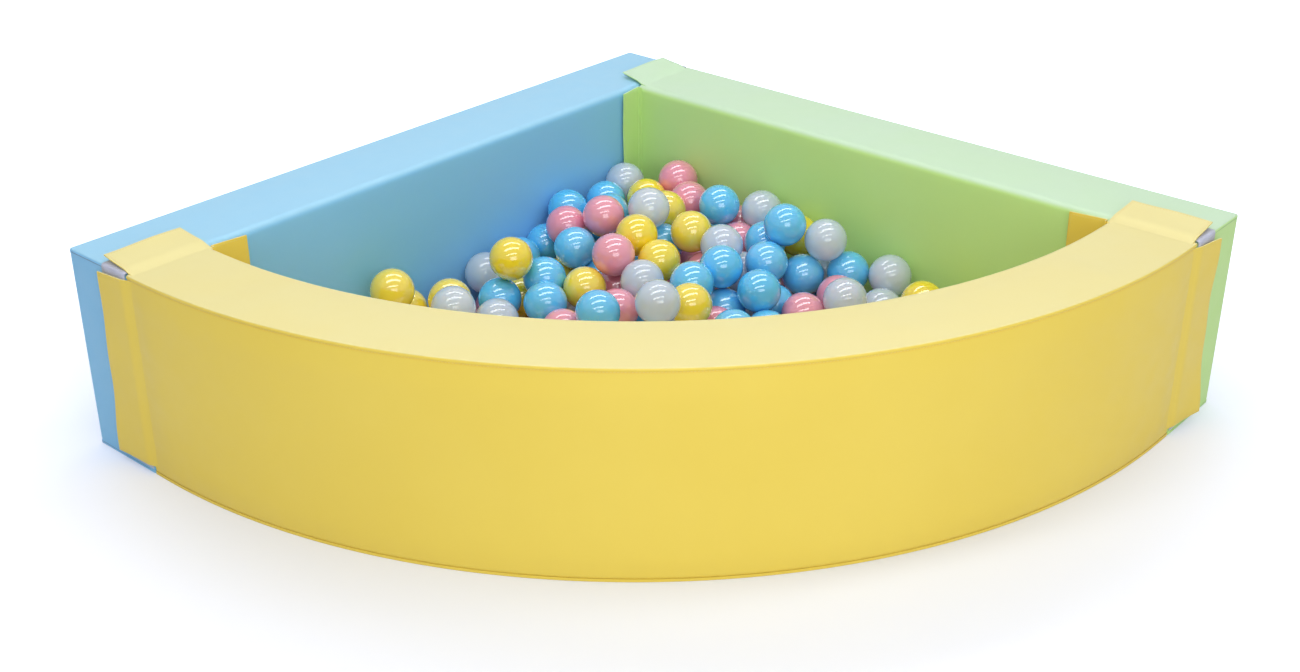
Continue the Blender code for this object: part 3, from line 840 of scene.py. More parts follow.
class Nap(EffectGroup):
    """Short pile of hook or loop tape, as a height from 0 to 1."""

    name = "nap"
    inputs = (PLACE, ("Tuft", FLOAT, 1.0 * MM))

    def make(self, graph: Graph, given: object) -> bpy.types.NodeSocket:
        """Tufts with tangled fibres between them.

        Args:
            graph: Where the nodes go.
            given: The group's input sockets, by name.

        Returns:
            The socket to put out.
        """
        tufts = graph.cells(given["Place"], given["Tuft"])
        fibres = graph.noise(given["Place"], graph.math("MULTIPLY", given["Tuft"], 0.3), 4.0)
        return graph.math("MULTIPLY_ADD", tufts, -0.6, fibres)


GRAIN, MOTTLE, SEAM_SHADE_AND_DUST, PAINTED_TOP_LIGHT = LeatherGrain(), Mottle(), SeamShadeAndDust(), PaintedTopLight()
WEAVE, NAP = Weave(), Nap()
SCREEN_WHITE = 255
SCREEN_GAMMA = 2.2
WHITE = (1.0, 1.0, 1.0, 1.0)


@dataclass(frozen=True)
class Colour:
    """A colour as a screen shows it, 0 to 255."""

    red: float
    green: float
    blue: float

    def linear(self) -> tuple[float, float, float, float]:
        """The same colour for a shader's socket."""
        parts = (self.red, self.green, self.blue)
        return (*((part / SCREEN_WHITE) ** SCREEN_GAMMA for part in parts), 1.0)

    def through(self, tint: tuple[float, float, float]) -> tuple[float, float, float, float]:
        """The same colour seen through a tint."""
        return (*(part * share for part, share in zip(self.linear(), tint)), 1.0)


@dataclass(frozen=True)
class Finish:
    """What every finish has: a name, the record's slot and a colour."""

    name: str
    slot: str
    colour: Colour

    def material(self) -> bpy.types.Material:
        """The finish's material, built when it is first asked for.

        Returns:
            The material.
        """
        if self.name in bpy.data.materials:
            return bpy.data.materials[self.name]
        material = bpy.data.materials.new(self.name)
        material.use_nodes = True
        graph = Graph(material.node_tree)
        shader = material.node_tree.nodes["Principled BSDF"]
        shader.location = (2400, 0)
        self.dress(graph, shader)
        return material

    def dress(self, graph: Graph, shader: bpy.types.Node) -> None:
        """Set the shader up from the finish's fields."""
        raise NotImplementedError

    def put_on(self, obj: bpy.types.Object) -> bpy.types.Object:
        """Give an object this finish alone, and name its slot.

        Args:
            obj: The piece or CAD node to dress.

        Returns:
            The same object.
        """
        obj.data.materials.clear()
        obj.data.materials.append(self.material())
        if "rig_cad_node" not in obj:
            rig.slot(obj, self.slot)
        return obj

    def bump(self, graph: Graph, shader: bpy.types.Node, height: object, depth: float,
             under: object = None) -> bpy.types.NodeSocket:
        """Lead a height to the shader's normal.

        Args:
            graph: The material's graph.
            shader: Its shader.
            height: Height from 0 to 1.
            depth: How many metres that is.
            under: A normal that is already bumped, if there is one.

        Returns:
            The bumped normal.
        """
        node = graph.fill(graph.add("ShaderNodeBump"), Strength=1.0, Distance=depth, Height=height)
        if under is not None:
            graph.fill(node, Normal=under)
        graph.fill(shader, Normal=node.outputs["Normal"])
        return node.outputs["Normal"]


@dataclass(frozen=True)
class Leatherette(Finish):
    """Satin synthetic leather with a fine grain and soft unevenness."""

    deep: Colour = Colour(120, 120, 120)
    # Paler colour that the tops are painted: painted light for the lamps' sheen on the top faces.
    faded: Colour = Colour(220, 220, 220)
    roughness: float = 0.42
    patch: float = 0.28
    wear: float = 0.035
    pebble: float = 1.1 * MM
    grain_depth: float = 0.05 * MM
    dent: float = 0.055
    dent_depth: float = 0.9 * MM

    def dress(self, graph: Graph, shader: bpy.types.Node) -> None:
        """Mottled colour, painted shade and dust in the folds, painted light that makes the top paler, grain and
        dents.

        Args:
            graph: The material's graph.
            shader: Its shader.
        """
        place = graph.object_place()
        mottled = MOTTLE.use(graph, Place=place, Patch=self.patch, Colour=self.colour.linear(),
                             Other=self.deep.linear(), Amount=0.35)
        # Painted shade with dust in the seam grooves, where the fold attribute is high.
        folds = SEAM_SHADE_AND_DUST.use(graph, Fold=graph.attribute("fold"), Place=place,
                              Colour=mottled, Depth=0.4)
        # Painted light: the top faces are painted paler, for the sheen of the lamps.
        crown = PAINTED_TOP_LIGHT.use(graph, Crown=graph.attribute("crown"), Place=place,
                          Colour=folds, Faded=self.faded.linear())
        wear = graph.noise(place, self.wear, 4.0)
        rough = graph.between(wear, 0.3, 0.7, self.roughness - 0.05, self.roughness + 0.06)
        graph.fill(shader, Base_Color=crown, Roughness=rough, Specular_IOR_Level=0.5,
                   Sheen_Weight=0.12, Sheen_Roughness=0.45)
        dents = self.bump(graph, shader, graph.noise(place, self.dent, 1.5), self.dent_depth)
        grain = GRAIN.use(graph, Place=place, Pebble=self.pebble)
        self.bump(graph, shader, grain, self.grain_depth, dents)


@dataclass(frozen=True)
class PlayPlastic(Finish):
    """Thin glossy plastic of the play balls, with its mould line."""

    glow: float = 0.25
    glow_reach: tuple[float, float, float] = (0.012, 0.010, 0.008)
    roughness: float = 0.10
    clearness: float = 0.0
    palest: float = 0.07
    line_half: float = 0.45 * MM
    line_depth: float = 0.10 * MM
    gate: float = 2.2 * MM
    scuff: float = 6 * MM
    wave: float = 16 * MM
    wave_depth: float = 0.03 * MM

    def dress(self, graph: Graph, shader: bpy.types.Node) -> None:
        """Colour that changes a little from ball to ball, a mould line and a gate mark.

        Args:
            graph: The material's graph.
            shader: Its shader.
        """
        own = self.colour.linear()
        tint = graph.attribute("tint")
        paler = graph.blend(self.palest, own, WHITE)
        mould = graph.attribute("mould", "Vector")
        parts = graph.parts(mould)
        across = graph.math("ABSOLUTE", parts[2])
        line = graph.between(across, 0.0, self.line_half, 1.0, 0.0)
        middle = graph.length(graph.combined(parts[0], parts[1]))
        ring = graph.between(middle, self.gate * 0.6, self.gate, 1.0, 0.0)
        scuffs = graph.noise(graph.object_place(), self.scuff, 5.0)
        rough = graph.between(scuffs, 0.45, 0.75, self.roughness, self.roughness + 0.06)
        under = self.bump(graph, shader, line, self.line_depth)
        under = self.bump(graph, shader, ring, self.line_depth, under)
        self.bump(graph, shader, graph.noise(mould, self.wave, 1.0), self.wave_depth, under)
        graph.fill(shader, Base_Color=graph.blend(tint, own, paler), Roughness=rough,
                   Specular_IOR_Level=0.6, Coat_Weight=1.0, Coat_IOR=1.7, Coat_Roughness=0.06,
                   Subsurface_Weight=self.glow, Subsurface_Radius=self.glow_reach,
                   Subsurface_Scale=1.0, Alpha=1.0 - self.clearness)


@dataclass(frozen=True)
class PileTape(Finish):
    """Hook or loop tape: a woven ground with short pile."""

    tuft: float = 0.9 * MM
    pile: float = 0.35 * MM
    low_pile_shade: tuple[float, float, float] = (0.62, 0.63, 0.70)
    sheen: float = 0.4

    def dress(self, graph: Graph, shader: bpy.types.Node) -> None:
        """Napped height, with painted shade where the pile is low.

        Args:
            graph: The material's graph.
            shader: Its shader.
        """
        height = NAP.use(graph, Place=graph.object_place(), Tuft=self.tuft)
        # Painted shade: the colour darkens where the pile is low, between the tufts.
        shade = graph.between(height, -0.3, 0.6, 0.72, 1.0)
        colour = graph.blend(shade, self.colour.through(self.low_pile_shade), self.colour.linear())
        graph.fill(shader, Base_Color=colour, Sheen_Weight=self.sheen,
                   Roughness=graph.between(height, -0.3, 0.6, 0.98, 0.85))
        self.bump(graph, shader, height, self.pile)


@dataclass(frozen=True)
class WovenCloth(Finish):
    """Woven cloth of a panel or a zip tape."""

    pitch: float = 1.0 * MM
    rib: float = 0.18 * MM
    patch: float = 0.06
    rib_valley_shade: tuple[float, float, float] = (0.55, 0.55, 0.58)
    roughness: float = 0.85

    def dress(self, graph: Graph, shader: bpy.types.Node) -> None:
        """Weave in the height and, faintly, in the colour, as painted shade between the ribs.

        Args:
            graph: The material's graph.
            shader: Its shader.
        """
        place = graph.object_place()
        height = WEAVE.use(graph, Place=place, Pitch=self.pitch)
        # Painted shade: the colour darkens in the low places between the ribs.
        darker = self.colour.through(self.rib_valley_shade)
        mixed = graph.blend(graph.between(height, 0.0, 0.7), darker, self.colour.linear())
        mottled = MOTTLE.use(graph, Place=place, Patch=self.patch, Colour=mixed, Other=darker,
                             Amount=0.2)
        graph.fill(shader, Base_Color=mottled,
                   Roughness=graph.between(height, 0.0, 1.0, self.roughness, 0.7))
        self.bump(graph, shader, height, self.rib)


@dataclass(frozen=True)
class OpenFoam(Finish):
    """Open-cell foam, cut with a blade."""

    cell: float = 1.3 * MM
    pit: float = 0.5 * MM
    # Tint of the painted shade at the bottom of the pits.
    bottom: tuple[float, float, float] = (0.7, 0.66, 0.55)

    def dress(self, graph: Graph, shader: bpy.types.Node) -> None:
        """Small pits, with painted shade at their bottoms.

        Args:
            graph: The material's graph.
            shader: Its shader.
        """
        pits = graph.cells(graph.object_place(), self.cell)
        colour = graph.blend(graph.between(pits, 0.1, 0.5), self.colour.through(self.bottom),
                             self.colour.linear())
        graph.fill(shader, Base_Color=colour, Roughness=graph.between(pits, 0.0, 0.6, 1.0, 0.9))
        self.bump(graph, shader, pits, self.pit)


@dataclass(frozen=True)
class HardPlastic(Finish):
    """Moulded plastic or painted metal of small parts, lightly scuffed."""

    roughness: float = 0.35
    scuff: float = 1.5 * MM
    scuff_depth: float = 0.03 * MM
    patch: float = 4 * MM
    worn: tuple[float, float, float, float] = (0.6, 0.6, 0.62, 1.0)

    def dress(self, graph: Graph, shader: bpy.types.Node) -> None:
        """Scuffs in the roughness and a faint orange-peel.

        Args:
            graph: The material's graph.
            shader: Its shader.
        """
        place = graph.object_place()
        scuffs = graph.noise(place, self.scuff, 5.0)
        mottled = MOTTLE.use(graph, Place=place, Patch=self.patch, Colour=self.colour.linear(),
                             Other=self.worn, Amount=0.15)
        rough = graph.between(scuffs, 0.4, 0.7, self.roughness, self.roughness + 0.15)
        graph.fill(shader, Base_Color=mottled, Roughness=rough, Specular_IOR_Level=0.5)
        self.bump(graph, shader, scuffs, self.scuff_depth)


@dataclass(frozen=True)
class Thread(Finish):
    """Twisted sewing thread."""

    twist: float = 0.5 * MM
    strand: float = 0.1 * MM

    def dress(self, graph: Graph, shader: bpy.types.Node) -> None:
        """Fine twisted strands, with painted light on the high ones and painted shade between them.

        Args:
            graph: The material's graph.
            shader: Its shader.
        """
        own = self.colour.linear()
        strands = graph.noise(graph.object_place(), self.twist)
        paler = graph.blend(0.3, own, WHITE)
        # Painted light and shade: the strands are paler where they stand high and darker between them.
        graph.fill(shader, Base_Color=graph.blend(strands, own, paler),
                   Roughness=graph.between(strands, 0.3, 0.7, 0.5, 0.75))
        self.bump(graph, shader, strands, self.strand)


# Each leather's paler top colour is painted light, for the sheen of the lamps on the top faces.
BLUE_LEATHER = Leatherette("blue_leather", "blue_leatherette", Colour(136, 203, 247),
                           deep=Colour(128, 197, 243), faded=Colour(158, 213, 244))
GREEN_LEATHER = Leatherette("green_leather", "green_leatherette", Colour(200, 240, 150),
                            deep=Colour(193, 235, 140), faded=Colour(203, 232, 200))
YELLOW_LEATHER = Leatherette("yellow_leather", "yellow_leatherette", Colour(243, 215, 88),
                             deep=Colour(239, 209, 78), faded=Colour(236, 224, 155))
WALL_LEATHER = {
    WallName.LEFT: BLUE_LEATHER,
    WallName.RIGHT: GREEN_LEATHER,
    WallName.FRONT: YELLOW_LEATHER,
}
THREADS = {
    WallName.LEFT: Thread("blue_thread", "blue_leatherette", Colour(132, 182, 218)),
    WallName.RIGHT: Thread("green_thread", "green_leatherette", Colour(176, 214, 164)),
    WallName.FRONT: Thread("yellow_thread", "yellow_leatherette", Colour(232, 202, 96)),
}
SEAM_CORDS = {
    WallName.LEFT: Thread("blue_cord", "blue_leatherette", Colour(84, 128, 168)),
    WallName.RIGHT: Thread("green_cord", "green_leatherette", Colour(150, 196, 130)),
}
FOAM = OpenFoam("cut_foam", "foam", Colour(240, 238, 225))
PANEL_CLOTH = WovenCloth("panel_cloth", "base_fabric", Colour(186, 192, 198), pitch=1.6 * MM)
TAPE_CLOTH = WovenCloth("zip_tape_cloth", "zip", Colour(225, 228, 232), pitch=0.7 * MM)
TEETH_PLASTIC = HardPlastic("zip_teeth_plastic", "zip", Colour(222, 226, 232))
SLIDER_METAL = HardPlastic("slider_enamel", "slider", Colour(235, 235, 238), roughness=0.25)
HOOK_TAPE = PileTape("hook_tape", "hook_strip", Colour(226, 229, 238), tuft=1.5 * MM)
LOOP_TAPE = PileTape("loop_tape", "loop_patch", Colour(205, 209, 232), pile=0.5 * MM)
BALL_PLASTIC = {
    BallColour.BLUE: PlayPlastic("sky_blue_plastic", "blue_ball", Colour(84, 196, 254)),
    BallColour.PINK: PlayPlastic("pink_plastic", "pink_ball", Colour(238, 148, 172)),
    BallColour.YELLOW: PlayPlastic("lemon_plastic", "yellow_ball", Colour(250, 222, 40)),
    BallColour.WHITE: PlayPlastic("frosted_plastic", "white_ball", Colour(214, 228, 247),
                                  roughness=0.07, clearness=0.25),
}


# Rows of small pieces along a line


class RowOfPieces:
    """Geometry nodes that set one small piece at even steps along a line of points."""

    name = "row_of_pieces"
    sizes: tuple[tuple[str, float], ...] = (("Pitch", 4 * MM),)

    def shape(self, graph: Graph, given: object) -> bpy.types.NodeSocket:
        """Make the small piece, lying along X, from the tree's inputs."""
        raise NotImplementedError

    def tree(self) -> bpy.types.NodeTree:
        """The geometry tree, built when it is first asked for.

        Returns:
            The node group.
        """
        if self.name in bpy.data.node_groups:
            return bpy.data.node_groups[self.name]
        tree = bpy.data.node_groups.new(self.name, "GeometryNodeTree")
        faces = tree.interface
        faces.new_socket("Line", in_out="INPUT", socket_type="NodeSocketGeometry")
        for name, value in self.sizes:
            socket = faces.new_socket(name, in_out="INPUT", socket_type=FLOAT)
            socket.default_value = value
        faces.new_socket("Finish", in_out="INPUT", socket_type="NodeSocketMaterial")
        faces.new_socket("Pieces", in_out="OUTPUT", socket_type="NodeSocketGeometry")
        graph = Graph(tree)
        given = graph.add("NodeGroupInput").outputs
        curve = graph.fill(graph.add("GeometryNodeMeshToCurve"), Mesh=given["Line"])
        steps = graph.fill(graph.add("GeometryNodeResampleCurve", mode="LENGTH"),
                           Curve=curve.outputs[0], Length=given["Pitch"])
        turn = graph.fill(graph.add("FunctionNodeAlignRotationToVector", axis="X"),
                          Vector=graph.add("GeometryNodeInputTangent").outputs[0])
        pieces = graph.fill(graph.add("GeometryNodeInstanceOnPoints"), Points=steps.outputs[0],
                            Instance=self.shape(graph, given), Rotation=turn.outputs[0])
        real = graph.fill(graph.add("GeometryNodeRealizeInstances"), pieces.outputs[0])
        dressed = graph.fill(graph.add("GeometryNodeSetMaterial"), Geometry=real.outputs[0],
                             Material=given["Finish"])
        graph.fill(graph.add("NodeGroupOutput"), dressed.outputs[0])
        return tree

    def along(self, name: str, lines: list[np.ndarray], finish: Finish,
              **sizes: float) -> bpy.types.Object:
        """Set the pieces along some lines and keep them as one plain mesh.

        Args:
            name: Name of the new piece.
            lines: Points of each line, in order.
            finish: What the pieces are made of.
            sizes: Values of the tree's named sizes.

        Returns:
            The new object.
        """
        mesh = bpy.data.meshes.new(name)
        points = np.concatenate(lines)
        edges, start = [], 0
        for line in lines:
            edges += [(start + step, start + step + 1) for step in range(len(line) - 1)]
            start += len(line)
        mesh.from_pydata(points.tolist(), edges, [])
        obj = new_object(name, mesh)
        modifier = obj.modifiers.new("row", "NODES")
        modifier.node_group = self.tree()
        values = {**sizes, "Finish": finish.material()}
        for socket in self.tree().interface.items_tree:
            if socket.in_out == "INPUT" and socket.name in values:
                modifier[socket.identifier] = values[socket.name]
        apply_modifiers(obj)
        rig.slot(obj, finish.slot)
        return shade_smooth(obj, 50)


class StitchRow(RowOfPieces):
    """Lockstitches of thick thread."""

    name = "stitch_row"
    sizes = (("Pitch", 4.5 * MM), ("Length", 3.4 * MM), ("Radius", 0.35 * MM))

    def shape(self, graph: Graph, given: object) -> bpy.types.NodeSocket:
        """One stitch, a long rounded bead.

        Args:
            graph: Where the nodes go.
            given: The tree's input sockets, by name.

        Returns:
            The small piece.
        """
        bead = graph.fill(graph.add("GeometryNodeMeshUVSphere"), Segments=6, Rings=4, Radius=1.0)
        half = graph.math("MULTIPLY", given["Length"], 0.5)
        size = graph.combined(half, given["Radius"], given["Radius"])
        shaped = graph.fill(graph.add("GeometryNodeTransform"), Geometry=bead.outputs["Mesh"],
                            Scale=size)
        return shaped.outputs[0]


class ToothRow(RowOfPieces):
    """Moulded zip teeth: a stem with a broad head."""

    name = "tooth_row"
    sizes = (("Pitch", 2.0 * MM), ("Thick", 1.1 * MM), ("Wide", 2.4 * MM), ("High", 2.0 * MM))

    def shape(self, graph: Graph, given: object) -> bpy.types.NodeSocket:
        """One tooth across the row, with its head in the middle.

        Args:
            graph: Where the nodes go.
            given: The tree's input sockets, by name.

        Returns:
            The small piece.
        """
        stem, head = (4, 1.0, given["Wide"], math.pi / 2), (8, 1.25, given["High"], 0.0)
        parts = []
        for sides, share, tall, turn in (stem, head):
            radius = graph.math("MULTIPLY", given["Thick"], share / 2)
            round_bar = graph.fill(graph.add("GeometryNodeMeshCylinder"), Vertices=sides,
                                   Radius=radius, Depth=tall)
            turned = graph.fill(graph.add("GeometryNodeTransform"), Rotation=(turn, 0, 0),
                                Geometry=round_bar.outputs["Mesh"])
            parts.append(turned.outputs[0])
        both = graph.add("GeometryNodeJoinGeometry")
        for part in reversed(parts):
            graph.feed(both.inputs[0], part)
        return both.outputs[0]


STITCHES, TEETH = StitchRow(), ToothRow()


# Walls


class WallPath:
    """A wall's outer face as seen from above, by the distance along it."""

    length = 0.0

    def at(self, along: np.ndarray) -> tuple[np.ndarray, np.ndarray]:
        """Points on the outer face and the way inwards.

        Args:
            along: Distances along the wall.

        Returns:
            The points and the directions, one row for each distance.
        """
        raise NotImplementedError

    def locate(self, points: np.ndarray) -> tuple[np.ndarray, np.ndarray]:
        """The distance along the wall and the depth behind its outer face of some points."""
        raise NotImplementedError

    def place(self, along: np.ndarray, depth: np.ndarray, height: np.ndarray) -> np.ndarray:
        """Points of the pit from distance along, depth and height.

        Args:
            along: Distances along the wall.
            depth: Distances behind its outer face.
            height: Heights over the floor.

        Returns:
            The points.
        """
        points, inwards = self.at(np.asarray(along, float))
        placed = points + inwards * np.asarray(depth, float)[..., None]
        placed[..., 2] = height
        return placed


class StraightPath(WallPath):
    """A straight wall's outer face."""

    def __init__(self, start: Vector, heading: Vector, inwards: Vector, length: float) -> None:
        """Take the start, the way along, the way inwards and the length."""
        self.start, self.heading = np.array(start), np.array(heading)
        self.inwards, self.length = np.array(inwards), length

    def at(self, along: np.ndarray) -> tuple[np.ndarray, np.ndarray]:
        """Points along a straight line."""
        points = self.start + along[..., None] * self.heading
        return points, np.broadcast_to(self.inwards, points.shape)

    def locate(self, points: np.ndarray) -> tuple[np.ndarray, np.ndarray]:
        """Distances along the line and behind it."""
        away = points - self.start
        return away @ self.heading, away @ self.inwards


class CurvedPath(WallPath):
    """The front wall's outer face: a quarter circle with a short straight run at both ends."""

    def __init__(self, sizes: PitSizes) -> None:
        """Take the pit's sizes.

        Args:
            sizes: The sizes to follow.
        """
        self.radius, self.straight = sizes.radius, sizes.end_straight
        self.bend = self.radius * math.pi / 2
        self.length = self.bend + 2 * self.straight
        self.centre = np.array((sizes.radius - sizes.side, sizes.front + sizes.radius, 0))

    def at(self, along: np.ndarray) -> tuple[np.ndarray, np.ndarray]:
        """Points along the straight runs and the curve.

        Args:
            along: Distances along the wall.

        Returns:
            The points and the directions inwards.
        """
        past = along - self.straight
        turned = np.clip(past, 0, self.bend) / self.radius
        run = np.minimum(past, 0) + np.maximum(past - self.bend, 0)
        zero = np.zeros_like(turned)
        inwards = np.stack((np.cos(turned), np.sin(turned), zero), -1)
        heading = np.stack((np.sin(turned), -np.cos(turned), zero), -1)
        points = self.centre - inwards * self.radius + heading * run[..., None]
        return points, inwards

    def locate(self, points: np.ndarray) -> tuple[np.ndarray, np.ndarray]:
        """Distances along the curve and behind it.

        Args:
            points: Points on or in the wall.

        Returns:
            The distances and the depths.
        """
        away = points - self.centre
        turned = np.arctan2(-away[:, 1], -away[:, 0])
        along = self.straight + turned * self.radius
        depth = self.radius - np.hypot(away[:, 0], away[:, 1])
        first, last = away[:, 1] > 0, away[:, 0] > 0
        along = np.where(first, self.straight - away[:, 1], along)
        depth = np.where(first, self.radius + away[:, 0], depth)
        along = np.where(last, self.straight + self.bend + away[:, 0], along)
        return along, np.where(last, self.radius + away[:, 1], depth)


PATHS: dict[WallName, WallPath] = {
    WallName.LEFT: StraightPath(Vector((-SIZES.side, SIZES.back, 0)), EAST, -NORTH,
                                SIZES.length),
    WallName.RIGHT: StraightPath(Vector((SIZES.side, SIZES.front, 0)), NORTH, -EAST,
                                 SIZES.length - SIZES.wall - SIZES.gap),
    WallName.FRONT: CurvedPath(SIZES),
}


@dataclass
class WallShape:
    """Cross-section of a wall, and the skin that is drawn along its path."""

    path: WallPath
    inset: float = 0.0
    low: float = SIZES.cover_low
    step: float = 0.0115
    seam_drop: float = 6.2 * MM
    groove: float = 1.1 * MM
    groove_half: float = 1.6 * MM
    welt: float = 0.9 * MM
    seams: bool = True

    def strands(self, extra: float) -> tuple[np.ndarray, np.ndarray, np.ndarray]:
        """Outer side, top and inner side of the cross-section, as depths and heights.

        Args:
            extra: How far this ring is drawn in, at the rounded ends.

        Returns:
            The three strands; the sides run upwards and the top runs inwards.
        """
        near, far = self.inset + extra, SIZES.wall - self.inset - extra
        top = SIZES.height - self.inset - extra
        line = top - self.seam_drop
        steps = round((SIZES.height - self.low) / self.step)
        plain = np.linspace(self.low, line - self.groove_half, steps + 1)
        outer = [(near, height) for height in plain]
        edge, welt = SIZES.edge_round, self.welt * self.seams
        outer.append((near + self.groove * self.seams, line))
        outer.append((near - welt / 2, line + self.groove_half))
        outer.append((near - welt, top - 1.6 * edge))
        over = [(near - welt / 2 + edge * (1 - math.cos(angle)),
                 top - edge + edge * math.sin(angle)) for angle in quarter(3)]
        outer.append(over[0])
        soft = SIZES.top_round - self.inset
        flat = np.linspace(near + 3 * edge, far - soft, round(SIZES.wall / self.step))
        over += [(depth, top) for depth in flat]
        over += [(far - soft * (1 - math.sin(angle)), top - soft * (1 - math.cos(angle)))
                 for angle in quarter(5)[1:]]
        inner = np.stack((np.full(len(outer), far),
                          np.linspace(self.low, top - soft, len(outer))), -1)
        return np.array(outer), np.array(over), inner

    def stops(self) -> list[tuple[float, float]]:
        """Distances along the wall, with how far each ring is drawn in.

        Returns:
            Pairs of a distance and a draw, from end to end.
        """
        ends = [(SIZES.end_round * (1 - math.cos(angle)), SIZES.end_round * (1 - math.sin(angle)))
                for angle in quarter(3)]
        length = self.path.length
        run = spread(self.inset + 2 * SIZES.end_round, length - self.inset
                     - 2 * SIZES.end_round, self.step)
        first = [(self.inset + along, extra) for along, extra in ends]
        last = [(length - along, extra) for along, extra in reversed(first)]
        return first + [(along, 0.0) for along in run] + last

    def skin(self, name: str, hollow: float = 3.5 * MM) -> bpy.types.Object:
        """The closed skin of the wall.

        Args:
            name: Name of the piece.
            hollow: How far its underside rises between its edges.

        Returns:
            The new object.
        """
        quilt = Patchwork(name)
        body, under, caps = [], [], []
        stops = self.stops()
        for number, (along, extra) in enumerate(stops):
            outer, over, inner = self.strands(extra)
            ring = np.concatenate((outer, over[1:], inner[::-1][1:]))
            here = np.full(len(ring), along)
            body.append(self.path.place(here, ring[:, 0], ring[:, 1]))
            across = np.linspace(0, 1, len(over))
            depth = outer[0, 0] + (inner[0, 0] - outer[0, 0]) * across
            inside = min(number, len(stops) - 1 - number) / 6
            rise = hollow * smooth(np.minimum(across, 1 - across) * 6) * smooth(inside)
            under.append(self.path.place(np.full(len(over), along), depth, self.low + rise))
            if number in (0, len(stops) - 1):
                sides = [self.path.place(np.full(len(strand), along), strand[:, 0],
                                         strand[:, 1]) for strand in (outer, over, inner)]
                caps.append(coons(under[-1], sides[1], sides[0], sides[2]))
        for grid in (np.array(body), np.array(under), *caps):
            quilt.add(grid)
        return quilt.build()


